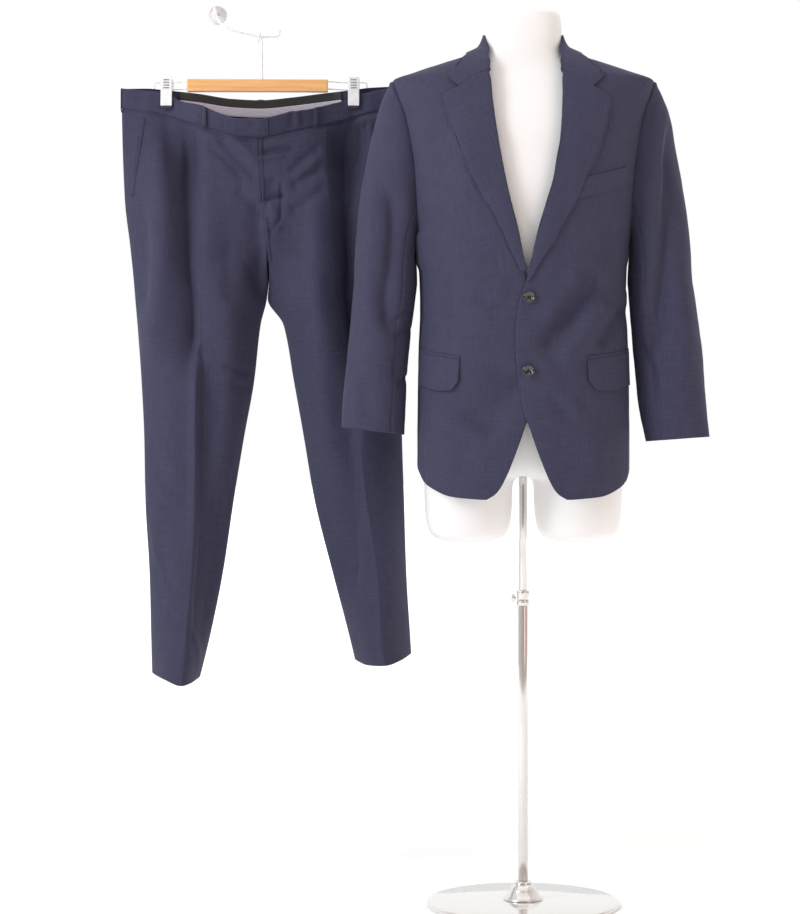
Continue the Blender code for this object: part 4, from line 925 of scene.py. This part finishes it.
# Trousers: two fronts and two backs, pressed with a crease down the middle of each leg.  They hang
# by the waistband's sides, so the middle sags and the cloth falls from the clips in long troughs.
TROUSERS = (worsted("trouser_worsted_cloth", 0.94), "trouser_worsted")
HANG_Y, CROTCH_Z, SEAT_Z, FOLDS_END_Z = 0.16, 1.046, 1.385, 1.384
HALF_SEAM = 0.0003
TOP_Z, SEAM_Z, OPEN_TOP, OPEN_SEAM = range(1, 5)
WAIST_FRONT = metres(  # x, top height, seam height, how far the top and the seam stand off the hanging plane
    (-704, 1419, 1385, 4, 4), (-660, 1415, 1380, 6.5, 9), (-625, 1412, 1372.5, 4, 5),
    (-601, 1396, 1365, 11, 14), (-566, 1386.2, 1352.5, 30, 24), (-527, 1367.5, 1340, 48, 31),
    (-495, 1357.4, 1331.5, 53.5, 34), (-458, 1356, 1329.2, 54.5, 34.5), (-431, 1362.4, 1334, 53, 33.5),
    (-404, 1370, 1340.5, 49, 31), (-373, 1376.5, 1348, 36, 27), (-332, 1389.5, 1358, 17, 17),
    (-304.8, 1398.5, 1365, 7, 9), (-292.5, 1406, 1370, 4, 5), (-264, 1412, 1377, 6, 9),
    (-215.6, 1423.5, 1386.5, 4, 4),
)
WAIST_BACK = metres(
    (-704, 1419, 1385, 4, 4), (-660, 1420, 1382, 6, 9), (-625, 1416.5, 1378.5, 4, 8),
    (-570, 1412, 1374, 12, 20), (-510, 1404, 1366, 19, 29), (-459, 1402, 1364, 21, 32),
    (-403, 1406.5, 1368.5, 18, 29), (-340, 1413, 1375, 9, 19), (-292.5, 1417.5, 1379.5, 4, 8),
    (-264, 1421.5, 1383.5, 6, 9), (-215.6, 1423.5, 1386.5, 4, 4),
)
OUTER, CREASE, INNER, FRONT_BULGE, BACK_BULGE, FRONT_MIDDLE, BACK_MIDDLE = range(1, 8)
# height, x of outer edge, crease and inner edge, then how far front and back stand off the hanging
# plane at the crease and at the middle seam
LEG_RIGHT = metres(
    (360, -650, -592, -570, 82, 82, 0, 0), (450, -652.5, -584, -547.8, 75, 76, 0, 0),
    (560, -655.6, -575, -525.2, 64, 66, 0, 0), (690, -663, -570, -505.6, 59, 62, 0, 0),
    (800, -665, -570, -487.5, 62, 66, 0, 0), (900, -669.8, -568, -469.5, 72, 78, 0, 0),
    (1000, -677, -566.5, -458, 80, 90, 0, 0), (1046, -681, -566.5, -447, 82, 96, 0, 0),
    (1080, -683.8, -566.5, -443.8, 80, 96, 26, 48), (1140, -690, -567, -445.8, 74, 92, 48, 78),
    (1220, -699.3, -569, -453.2, 62, 80, 56, 82), (1300, -702.3, -571, -459, 44, 56, 50, 62),
    (1385, -704, -575, -462, 28, 32, 36, 36),
)
LEG_LEFT = metres(
    (380, -188, -234, -284, 78, 80, 0, 0), (450, -192.5, -242, -301, 74, 76, 0, 0),
    (560, -199, -250, -330, 66, 68, 0, 0), (690, -203.1, -269.5, -362.4, 60, 62, 0, 0),
    (800, -206.6, -283.7, -381.2, 62, 66, 0, 0), (900, -208, -296, -399, 70, 78, 0, 0),
    (1000, -210, -312, -417.5, 78, 90, 0, 0), (1046, -211, -322, -445.5, 80, 96, 0, 0),
    (1080, -211.5, -326, -443, 78, 96, 26, 48), (1140, -212.5, -331, -445, 72, 92, 48, 78),
    (1220, -213.5, -335, -452.4, 60, 80, 56, 82), (1300, -214.5, -339, -458.2, 44, 56, 50, 62),
    (1385, -215.6, -343, -461.2, 28, 32, 36, 36),
)
LEG_HEM_Z = 1
HEM_RIGHT = (  # share across, height
    (0.0, 0.383), (0.25, 0.3745), (0.5, 0.366), (0.8, 0.369), (1.0, 0.375),
)
HEM_LEFT = (
    (0.0, 0.417), (0.2, 0.4085), (0.5, 0.401), (0.8, 0.4), (1.0, 0.406),
)
TROUSER_FOLDS = metres(
    (-3, 3, 4, (-419.4, 1260), (-419.1, 1224), (-420.3, 1188), (-429, 1169), (-443.8, 1154.5)),
    (-44, 29, 22, (-604, 1385), (-598, 1358), (-590, 1288), (-586, 1196), (-582, 1096), (-580, 998),
     (-584, 880)),
    (11, 26, 16, (-642, 1370), (-629, 1280), (-623, 1190), (-626, 1110), (-638, 1000), (-645, 900)),
    (-6, 18, 12, (-672, 1240), (-660, 1170), (-656, 1090), (-660, 1010)),
    (-7, 26, 10, (-588, 960), (-586, 865), (-586, 740), (-590, 600)),
    (-17, 13, 40, (-550, 1160), (-549, 950), (-550, 780), (-555, 600), (-570, 400)),
    (8, 20, 26, (-515, 1080), (-508, 960), (-515, 820), (-530, 680)),
    (-6.2, 10, 12, (-540, 1337), (-530.5, 1329), (-490.3, 1288), (-456, 1246)),
    (4, 12, 10, (-515, 1334), (-486, 1308), (-460, 1276)),
    (-4, 9, 12, (-560, 1322), (-544.5, 1312), (-497.3, 1270), (-480, 1240)),
    (-3.4, 12, 12, (-500, 1240), (-476, 1218), (-456, 1196)),
    (-4.2, 3, 6, (-464, 1298), (-457.2, 1299.1), (-421.3, 1306.2), (-390, 1308)),
    (3.4, 5, 6, (-464, 1289), (-440, 1292), (-410, 1296)),
    (-4.6, 3, 7, (-458, 1214), (-450.9, 1215.6), (-417.8, 1223.8), (-408, 1227)),
    (4.6, 10, 9, (-450, 1204), (-433, 1196), (-428, 1176), (-433, 1156)),
    (-11, 20, 8, (-456, 1230), (-458, 1170), (-454, 1110), (-454, 1040)),
    (-3.4, 12, 16, (-518, 1150), (-508, 1090), (-506, 1020)),
    (-44, 38, 28, (-298, 1385), (-297, 1351), (-292, 1262), (-289, 1162), (-285, 1062), (-276, 972),
     (-272, 860)),
    (-18, 36, 12, (-302, 930), (-296, 812), (-293, 690), (-296, 560), (-288, 500)),
    (8, 20, 22, (-356, 1260), (-356, 1160), (-356, 1060), (-350, 950), (-342, 820), (-328, 690)),
    (-5, 9, 10, (-346, 1318), (-359, 1308), (-394.6, 1275), (-408, 1262)),
    (-4.6, 8, 10, (-344, 1278), (-362, 1266), (-388.8, 1248), (-406, 1236)),
    (-4.6, 9, 11, (-338, 1248), (-366, 1220), (-394.1, 1199), (-410, 1190)),
    (3.6, 9, 9, (-350, 1296), (-376, 1272), (-400, 1254)),
    (-2.6, 5, 8, (-458, 1299), (-440, 1303), (-421.2, 1306), (-390, 1309), (-358, 1311)),
    (-4.2, 6, 10, (-453, 1214), (-440, 1217), (-417.7, 1223), (-406, 1228)),
    (-3, 6, 6, (-438, 1208), (-446, 1196), (-450, 1184)),
    (-2.6, 5, 6, (-424, 1186), (-433, 1170), (-442, 1158)),
    (-3.4, 8, 10, (-426, 1262), (-434, 1248), (-440, 1230)),
    (-6, 5, 8, (-270, 1366), (-272.4, 1345), (-271.5, 1305)),
    (-4.6, 5, 6, (-282, 1362), (-283, 1335), (-283.8, 1292)),
    (-5, 7, 9, (-256, 1368), (-254, 1330), (-256, 1260)),
    (-2.8, 7, 8, (-566, 945), (-545, 957), (-527.1, 963)),
    (-2.8, 6, 8, (-521.8, 925), (-496, 918), (-469.3, 912)),
    (-2.4, 7, 8, (-510, 884), (-490, 890), (-472, 884)),
    (-3, 10, 12, (-640, 668), (-621.6, 676), (-596, 686), (-577.8, 692)),
    (-3, 10, 12, (-650, 780), (-635, 740), (-610, 710), (-585, 704)),
    (-3, 8, 10, (-638, 620), (-621.6, 565), (-599, 528)),
    (4, 10, 12, (-648, 660), (-642, 620), (-630, 570)),
    (-2.4, 6, 6, (-618, 492), (-605, 488), (-596, 490)),
    (-2.8, 7, 8, (-320, 585), (-305, 566), (-285, 574), (-271.5, 586)),
    (-3, 8, 8, (-296, 452), (-280, 438), (-266, 440), (-240, 452)),
    (-2.2, 6, 7, (-266, 600), (-240, 590), (-216, 596)),
    (2.6, 4, 4, (-570, 460), (-564, 420), (-566, 378)),
    (2.6, 4, 5, (-248, 470), (-246, 440), (-240, 405)),
)
TROUSER_BACK_FOLDS = metres(
    (-8, 26, 20, (-608, 1375), (-598, 1280), (-590, 1170), (-585, 1030)),
    (-8, 20, 26, (-360, 1370), (-356, 1270), (-350, 1160), (-340, 1020)),
    (-6, 12, 14, (-540, 1330), (-500, 1250), (-470, 1180)),
    (-6, 14, 12, (-370, 1330), (-405, 1260), (-440, 1190)),
    (-6, 14, 16, (-650, 1040), (-590, 1000), (-520, 990)),
    (-6, 16, 14, (-235, 1030), (-300, 990), (-370, 980)),
    (-5, 12, 14, (-650, 760), (-605, 730), (-540, 725)),
    (-5, 14, 12, (-215, 750), (-260, 720), (-330, 715)),
    (-7, 20, 16, (-550, 1050), (-546, 900), (-552, 740)),
    (-7, 16, 20, (-340, 1040), (-320, 900), (-300, 740)),
)


def leg_x(table, z, share):
    """x across a leg, share from its outer edge through the crease to its inner edge."""
    outer, crease, inner = read(table, z, OUTER), read(table, z, CREASE), read(table, z, INNER)
    return np.where(share < 0.5, outer + (crease - outer) * share * 2,
                    crease + (inner - crease) * (share - 0.5) * 2)


def leg_ends(table, hem, waist, share):
    """Heights of a leg's hem and of its waist seam at a share across it."""
    return read(hem, share, LEG_HEM_Z), read(waist, leg_x(table, SEAT_Z, share), SEAM_Z) - 0.0004


def trouser_point(table, hem, face, share, v):
    """Points of a trouser panel, face -1 for the front and 1 for the back, v from hem to waist seam."""
    share = np.clip(share, 0.0, 1.0)
    waist, bulge_at, middle_at = ((WAIST_FRONT, FRONT_BULGE, FRONT_MIDDLE) if face < 0 else
                                  (WAIST_BACK, BACK_BULGE, BACK_MIDDLE))
    hem_z, seam_z = leg_ends(table, hem, waist, share)
    z = hem_z + (seam_z - hem_z) * v
    x = leg_x(table, z, share)
    full = read(table, z, bulge_at) * np.sin(math.pi * share) ** 0.75
    ramp = smooth((share - 0.25) / 0.75)
    split = smooth((z - CROTCH_Z) / 0.1)
    above = full * (1 - ramp) + np.maximum(read(table, z, middle_at), full * ramp) * ramp
    stand_off = full * (1 - split) + above * split
    stand_off = stand_off + (read(waist, x, OPEN_SEAM) - stand_off) * smooth((z - 1.19) / (seam_z - 1.19))
    return points_at(x, HANG_Y + face * (stand_off + HALF_SEAM), z)


def pressed(x, z, table):
    """A crease pressed into the cloth, strongest down the leg and gone above the fly."""
    strength = 0.0048 * smooth((z - 0.36) / 0.06) * (1 - 0.75 * smooth((z - 0.85) / 0.3))
    return strength * np.exp(-np.abs(x - read(table, z, CREASE)) / 0.007)


LEGS = (("right", LEG_RIGHT, HEM_RIGHT, False), ("left", LEG_LEFT, HEM_LEFT, True))
for label, table, hem, flipped in LEGS:
    for name, face, folded, waist, across, up in (
        ("front_", -1, TROUSER_FOLDS, WAIST_FRONT, 116, 230),
        ("back_", 1, TROUSER_BACK_FOLDS, WAIST_BACK, 72, 130),
    ):
        def leg_place(u, v):
            share = 1 - u if flipped != (face > 0) else u
            return trouser_point(table, hem, face, share, (1.35 - 0.35 * v) * v)

        def leg_rise(points):
            x, y, z = np.moveaxis(points, -1, 0)
            outer, inner = read(table, z, OUTER), read(table, z, INNER)
            near_edge = smooth(np.minimum(x - np.minimum(outer, inner), np.maximum(outer, inner) - x) / 0.012)
            middle_open = smooth((z - CROTCH_Z - 0.01) / 0.06)
            fade = np.maximum(near_edge, np.where(np.abs(x - inner) < np.abs(x - outer), middle_open, 0.0))
            rumple = folds(folded, x, z) * smooth((FOLDS_END_Z - z) / 0.02) + 1.6 * unevenness(x, y, z)
            groove = 0.003 * np.exp(-((z - read(waist, x, SEAM_Z) + 0.003) / 0.0045) ** 2)
            return rumple * fade + pressed(x, z, table) - groove

        cloth("trousers_" + name + label, "trouser_" + name + label, leg_place, across, up, TROUSERS,
              tuck=(0.003, 0.003, 0.0022, 0.003), dip=(0.0006, 0.0006, 0.0, 0.0006),
              rise=leg_rise)


# Waistband: a right and a left front band with an extension tab that closes over the fly, a back
# band, and inside the back a charcoal facing over a pale grip strip.  Belt loops are sewn over it.
def band(waist, face, start, end, low=0.0, high=1.0, out=0.0):
    """Place on the waistband from x start to x end, low and high as shares of its height."""
    def place(u, v):
        x = start + (end - start) * u
        share = low + (high - low) * v
        seam_z, top_z = read(waist, x, SEAM_Z), read(waist, x, TOP_Z)
        open_seam, open_top = read(waist, x, OPEN_SEAM), read(waist, x, OPEN_TOP)
        stand_off = open_seam + (open_top - open_seam) * share
        return points_at(x, HANG_Y + face * (stand_off + out), seam_z + (top_z - seam_z) * share)
    return place


WAIST_FOLDS = metres(
    (-2.2, 6, 7, (-398, 1400), (-400, 1372), (-402, 1340)),
    (-2, 5, 6, (-380, 1404), (-383, 1380), (-382, 1345)),
    (1.6, 6, 6, (-389, 1402), (-392, 1372), (-392, 1340)),
    (-1.6, 10, 10, (-670, 1425), (-669, 1405), (-670, 1375)),
    (-1.8, 8, 10, (-245, 1430), (-247, 1405), (-246, 1375)),
    (-1.8, 8, 8, (-490, 1372), (-470, 1358), (-464, 1340)),
)


def band_rise(points):
    x, y, z = np.moveaxis(points, -1, 0)
    return folds(WAIST_FOLDS, x, z) * (y < HANG_Y) + unevenness(x, y, z)


FLY_X, TAB_X, BAND_RIGHT, BAND_LEFT = -0.462, -0.519, -0.704, -0.2156
FACING_LEFT, FACING_RIGHT = -0.315, -0.602
for name, stands_for, place, across, cut, area in (
    ("right", "front_right", band(WAIST_FRONT, -1, BAND_RIGHT, FLY_X - 0.006), 90, (0.27, 0.045), 0.0105),
    ("left", "front_left", band(WAIST_FRONT, -1, FLY_X - 0.005, BAND_LEFT), 90, (0.28, 0.045), 0.011),
    ("tab", "tab", band(WAIST_FRONT, -1, TAB_X, FLY_X + 0.02, -0.02, 1.01, 0.002), 36, (0.085, 0.04),
     0.003),
    ("back", "back", band(WAIST_BACK, 1, BAND_LEFT, BAND_RIGHT), 150, (0.5, 0.045), 0.021),
):
    cloth("trousers_band_" + name, "waistband_" + stands_for, place, across, 14, TROUSERS,
          tuck=(0.0022, 0.0022, 0.0022, 0.0022), dip=(0.0, 0.0, 0.0006, 0.0), rise=band_rise)

charcoal = surface("charcoal_facing_cloth", (0.03, 0.028, 0.028), 0.8, on_grain=True,
                   tones=((900.0,), 0.3, 0.7, (0.03, 0.028, 0.028), (0.062, 0.058, 0.058)),
                   relief=((1400.0, 2.0), 0.3, 0.0002))
lilac = surface("lilac_grip_strip", (0.3, 0.27, 0.34), 0.6)
tree = lilac.node_tree
ribbing = node(tree, "TexWave", {"Vector": coordinates(tree, on_grain=True), "Scale": 130.0},
               bands_direction="Y")["Fac"]
set_shader(lilac, {"Base Color": blended(tree, ribbing, 0.2, 0.8, (0.56, 0.51, 0.61), (0.84, 0.78, 0.88)),
                   "Normal": bumped(tree, ribbing, 0.4, 0.0004)})
for name, low, high, kind, cut, area in (
    ("facing", 0.62, 0.97, (charcoal, "charcoal_facing"), (0.3, 0.016), 0.0042),
    ("strip", 0.22, 0.62, (lilac, "lilac_strip"), (0.3, 0.018), 0.0048),
):
    cloth("trousers_waist_" + name, "waist_" + name,
          band(WAIST_BACK, 1, FACING_RIGHT, FACING_LEFT, low, high, -0.0028), 90, 6, kind,
          tuck=(0.001, 0.001, 0.0008, 0.0008))

LOOP_HALF, LOOP_LOW, LOOP_HIGH, LOOP_SEWN, LOOP_LIFT = 0.0048, -0.06, 1.03, 0.0016, 0.0054
for label, waist, face, x, over in (
    ("front_right", WAIST_FRONT, -1, -0.557, "right"), ("front_left", WAIST_FRONT, -1, -0.358, "left"),
    ("back", WAIST_BACK, 1, -0.459, "back"),
):
    flat_loop = band(waist, face, x + face * LOOP_HALF, x - face * LOOP_HALF, LOOP_LOW, LOOP_HIGH)

    def looped(u, v):
        lift = LOOP_SEWN + (LOOP_LIFT - LOOP_SEWN) * smooth(v / 0.1) * smooth((1 - v) / 0.08)
        crown = 0.0005 * (1 - (2 * u - 1) ** 2)
        return flat_loop(u, v) + points_at(0, face * (lift + crown), 0)

    cloth("trousers_loop_" + label, "belt_loop_" + label, looped, 8, 30, TROUSERS,
          tuck=(0.001, 0.001, 0.0008, 0.0008), wall=0.0012)
for label, x, toward in (("right", BAND_RIGHT, -1), ("left", BAND_LEFT, 1)):
    def edge_on(u, v):
        stand_off = 0.0008 * smooth(v / 0.12) * smooth((1 - v) / 0.1) + 0.0012
        return points_at(x + toward * stand_off, HANG_Y - 0.005 * (1 - 2 * u) * toward, 1.378 + 0.042 * v)

    cloth("trousers_loop_side_" + label, "belt_loop_side_" + label, edge_on, 8, 24, TROUSERS,
          tuck=(0.0008, 0.0008, 0.0006, 0.0006),
          wall=0.0012)


# Fly and pockets: the left front laps over the right along the fly and is held by a J of stitches;
# each slanting side pocket has a narrow turned edge with a line of stitches beside it.
def lifted(points, lift, fade=1.0):
    """Points of a leg's front, raised by its creases and lifted towards the viewer."""
    rise = folds(TROUSER_FOLDS, points[..., 0], points[..., 2]) * fade
    return points - points_at(0, rise + lift, 0)


def on_left_leg(x, z, lift):
    """Points of the left leg's front at x and z, lifted towards the viewer."""
    outer, crease, inner = (read(LEG_LEFT, z, column) for column in (OUTER, CREASE, INNER))
    share = np.where((x - crease) * np.sign(inner - outer) > 0, 0.5 + (x - crease) / (inner - crease) / 2,
                     (x - outer) / (crease - outer) / 2)
    hem_z, seam_z = leg_ends(LEG_LEFT, HEM_LEFT, WAIST_FRONT, share)
    points = trouser_point(LEG_LEFT, HEM_LEFT, -1, share, (z - hem_z) / (seam_z - hem_z))
    return lifted(points, lift, smooth((FOLDS_END_Z - points[..., 2]) / 0.02))


FLY_LOW_Z, FLY_TOP_Z = 1.11, 1.324


def fly(u, v):
    z = FLY_LOW_Z + (FLY_TOP_Z - FLY_LOW_Z) * v
    return on_left_leg(read(LEG_LEFT, z, INNER) + 0.0012 + 0.0062 * u, z, 0.003 - 0.0024 * smooth(u))


cloth("trousers_fly_edge", "fly_edge", fly, 8, 70, TROUSERS,
      tuck=(0.0022, 0.0004, 0.0006, 0.0006), wall=0.001)

STITCH_GAP, STITCH_SIZE = 0.0032, (0.0032 * 0.36, 0.00022, 0.00022, 1.0)
stitch_thread = surface("dark_stitch_thread", (0.022, 0.021, 0.036), 0.6, relief=((2400.0, 2.0), 0.4, 0.0002))


def stitched(name, points):
    """A row of short stitches along points that lie on the cloth."""
    row = bmesh.new()
    line = [Vector(point) for point in points]
    run = 0.0
    for start, end in zip(line, line[1:]):
        way = end - start
        lie = way.to_track_quat("X", "Y").to_matrix().to_4x4() @ Matrix.Diagonal(STITCH_SIZE)
        while run < way.length:
            bmesh.ops.create_icosphere(row, subdivisions=1, radius=1.0,
                                       matrix=Matrix.Translation(start + way.normalized() * run) @ lie)
            run += STITCH_GAP
        run -= way.length
    finished(name, as_mesh(name, row), stitch_thread, None)


J_WAY = metres(  # x, height
    (-419.4, 1333), (-419.3, 1280), (-419.1, 1224), (-420.3, 1188), (-429, 1169), (-443.8, 1154.5),
)
j_x, j_z = path(J_WAY, 1.0)(np.linspace(0, 1, 60))
stitched("trousers_fly_stitches", on_left_leg(j_x, j_z, 0.0009))
for label, table, hem, flipped in LEGS:
    def welt(u, v, lift=0.0016):
        share = 0.046 + 0.09 * v + 0.022 * (1 - u if flipped else u)
        return lifted(trouser_point(table, hem, -1, share, 0.845 + 0.14 * v), lift)

    cloth("trousers_pocket_edge_" + label, "pocket_edge_" + label, welt, 6, 50, TROUSERS,
          tuck=(0.0012, 0.0012, 0.0006, 0.0006), wall=0.001)
    beside = -0.9 if flipped else 1.9
    stitched("trousers_pocket_stitches_" + label, welt(np.full(50, beside), np.linspace(0, 1, 50), 0.0009))


# Hanger: a beech bar with rounded edges, a bent wire arm let into each end, a white sprung clip
# sliding on each arm with grey ribs and a rubber jaw tip, and a swivel hook of plated wire.
beech = surface("beech_wood", (0.8, 0.47, 0.2), 0.4, stretch=(9, 160, 160),
                tones=((1.0, 6.0, 0.62), 0.32, 0.7, (0.95, 0.54, 0.235), (0.78, 0.4, 0.145)),
                relief=((1.0, 6.0, 0.62), 0.12, 0.0003), more={"Coat Weight": 0.35, "Coat Roughness": 0.22})


def block(name, centre, size, finish, stands_for, rounding, turn=Matrix.Identity(4)):
    """A rounded block."""
    solid = bmesh.new()
    bmesh.ops.create_cube(solid, size=1)
    bmesh.ops.scale(solid, vec=size, verts=solid.verts)
    rounded(solid, solid.edges[:], rounding, 4)
    bmesh.ops.transform(solid, matrix=Matrix.Translation(centre) @ turn, verts=solid.verts)
    piece = finished(name, as_mesh(name, solid), finish, stands_for)
    piece.modifiers.new("flats", "WEIGHTED_NORMAL").keep_sharp = False


BAR_LEFT, BAR_RIGHT, BAR_Z = -0.5889, -0.3383, 1.425
block("hanger_wood_bar", ((BAR_LEFT + BAR_RIGHT) / 2, HANG_Y, BAR_Z), (BAR_RIGHT - BAR_LEFT, 0.012, 0.0228),
      beech, "hanger_bar", 0.0026, Matrix.Rotation(math.radians(0.18), 4, "Y"))

plated = surface("plated_wire", (0.8, 0.8, 0.79), 0.35, 0.45,
                 tones=((240.0,), 0.3, 0.8, (0.88, 0.88, 0.87), (0.74, 0.74, 0.74)))


def wire(name, points, radius, stands_for, resolution=3):
    """A round plated wire: one ring of points carried along a smooth way, its ends filled."""
    curve = bpy.data.curves.new(name, "CURVE")
    curve.dimensions = "3D"
    curve.bevel_depth = radius
    curve.bevel_resolution = resolution
    curve.use_fill_caps = True
    line = curve.splines.new("NURBS")
    line.points.add(len(points) - 1)
    line.order_u = 3
    line.use_endpoint_u = True
    line.resolution_u = 8
    for knot, point in zip(line.points, points):
        knot.co = (*point, 1)
    drawn = placed(name + "_line", curve)
    mesh = bpy.data.meshes.new_from_object(drawn.evaluated_get(bpy.context.evaluated_depsgraph_get()))
    bpy.data.objects.remove(drawn, do_unlink=True)
    tube = bmesh.new()
    tube.from_mesh(mesh)
    bmesh.ops.remove_doubles(tube, verts=tube.verts, dist=0.000002)
    bmesh.ops.recalc_face_normals(tube, faces=tube.faces)
    tube.to_mesh(mesh)
    tube.free()
    mesh.name = name
    mesh.materials.clear()
    finished(name, mesh, plated, stands_for)


clip_white = surface("clip_white_plastic", (0.88, 0.88, 0.88), 0.22,
                     tones=((90.0,), 0.3, 0.7, (0.9, 0.9, 0.9), (0.8, 0.8, 0.81)),
                     relief=((700.0, 2.0), 0.06, 0.0003))
clip_grey = surface("clip_grey_rib", (0.2, 0.2, 0.21), 0.35,
                    tones=((300.0,), 0.3, 0.7, (0.17, 0.17, 0.18), (0.25, 0.25, 0.26)))
rubber = surface("clip_rubber_tip", (0.035, 0.035, 0.036), 0.65, relief=((1200.0, 2.0), 0.4, 0.0003))
CLIP_Z, CLIP_SIZE, RIB_SIZE = 1.4135, (0.02, 0.004, 0.052), (0.0105, 0.0012, 0.0018, 1)
UPPER, LOWER = 1.4325, 1.4195
ARM_OFF = 0.012
for label, x, way in (("right", -0.6248, -1), ("left", -0.2925, 1)):
    start = (BAR_LEFT if way < 0 else BAR_RIGHT) - way * 0.004
    end = x + way * 0.019
    half = [(start, 0, 0), (start + way * 0.01, 0.001, 0), (start + way * 0.024, ARM_OFF - 0.002, 0),
            (start + way * 0.03, ARM_OFF, 0), (end, ARM_OFF, 0), (end + way * 0.0042, ARM_OFF, 0.0015)]
    wire("hanger_arm_" + label, [(spot, HANG_Y + off, UPPER - drop) for spot, off, drop in half]
         + [(end + way * 0.0042, HANG_Y + ARM_OFF, (UPPER + LOWER) / 2)]
         + [(spot, HANG_Y + off, LOWER + drop) for spot, off, drop in half[::-1]],
         0.0011, "hanger_wire_" + label)
    front_y = HANG_Y - float(read(WAIST_FRONT, x, OPEN_TOP)) - 0.0046
    lean = Matrix.Rotation(math.radians(-3), 4, "X")
    jaw = (x, front_y - 0.0015, CLIP_Z)
    block("hanger_clip_front_" + label, jaw, CLIP_SIZE, clip_white, "clip_front_" + label,
          0.0012, lean)
    block("hanger_clip_back_" + label, (x, HANG_Y + 0.022, CLIP_Z), CLIP_SIZE, clip_white,
          "clip_back_" + label, 0.0012)
    block("hanger_clip_tip_" + label, (x, front_y - 0.0036, 1.3858), (0.0176, 0.0036, 0.0046), rubber,
          "clip_tip_" + label, 0.0009)
    ribs = bmesh.new()
    for k in range(4):
        spot = Matrix.Translation(jaw) @ lean @ Matrix.Translation((0, -0.0022, 0.006 + 0.0048 * k))
        bmesh.ops.create_cube(ribs, size=1, matrix=spot @ Matrix.Diagonal(RIB_SIZE))
    rounded(ribs, ribs.edges[:], 0.0004, 2)
    finished("hanger_clip_ribs_" + label, as_mesh("ribs", ribs), clip_grey, None)

HOOK_X, HOOK_RADIUS, HOOK_TOP_Z = (BAR_LEFT + BAR_RIGHT) / 2 + 0.008, 0.015, 1.5
hook_line = [(HOOK_X, HANG_Y, z) for z in (BAR_Z + 0.01, BAR_Z + 0.03, HOOK_TOP_Z - HOOK_RADIUS - 0.006)]
for k in range(11):
    angle = math.radians(20 * k)
    hook_line.append((HOOK_X - 0.0005 * k, HANG_Y - HOOK_RADIUS + HOOK_RADIUS * math.cos(angle),
                      HOOK_TOP_Z + HOOK_RADIUS * math.sin(angle)))
wire("hanger_swivel_hook", hook_line, 0.0014, "hanger_hook", 4)
spun("hanger_hook_ferrule", ((0, 0.003), (0.0022, 0.003), (0.003, 0.0022), (0.0034, 0.0), (0, 0.0)), plated,
     None, 0.0003, 24, Matrix.Translation((HOOK_X, HANG_Y, BAR_Z + 0.0112)))


# Wall arm: a thin plated rod that the hook hangs on, its free end turned up, run back to a small
# round plate that screws to the wall above.
ARM_Z, ARM_Y, PLATE_X, PLATE_Z = HOOK_TOP_Z + HOOK_RADIUS - 0.0056, HANG_Y - HOOK_RADIUS, -0.543, 1.5694
PLATE_FACE_Y, PLATE_BACK_Y = 0.2552, 0.26
rod_line = [(x, ARM_Y + off, ARM_Z + up) for x, off, up in (
    (-0.4235, 0, 0.012), (-0.424, 0, 0.004), (-0.4275, 0, 0.0005), (-0.44, 0, 0), (-0.456, 0, 0),
    (-0.468, 0, 0.002), (-0.5057, 0, 0.0105), (-0.522, 0.001, 0.018), (-0.533, 0.006, 0.03),
    (-0.539, 0.014, 0.045))]
rod_line += [(-0.542, ARM_Y + 0.026, PLATE_Z - 0.004), (PLATE_X, ARM_Y + 0.04, PLATE_Z),
             (PLATE_X, PLATE_FACE_Y, PLATE_Z)]
wire("wall_rod", rod_line, 0.0018, "wall_arm", 4)
PLATE_PROFILE = ((0, 0.0052), (0.006, 0.0052), (0.0075, 0.0046), (0.016, 0.0042), (0.018, 0.0026),
                 (0.018, 0.0), (0, 0.0))
spun("wall_round_plate", PLATE_PROFILE, plated, "wall_plate", 0.0004, 48,
     Matrix.Translation((PLATE_X, PLATE_BACK_Y, PLATE_Z)) @ Matrix.Rotation(math.radians(90), 4, "X"))
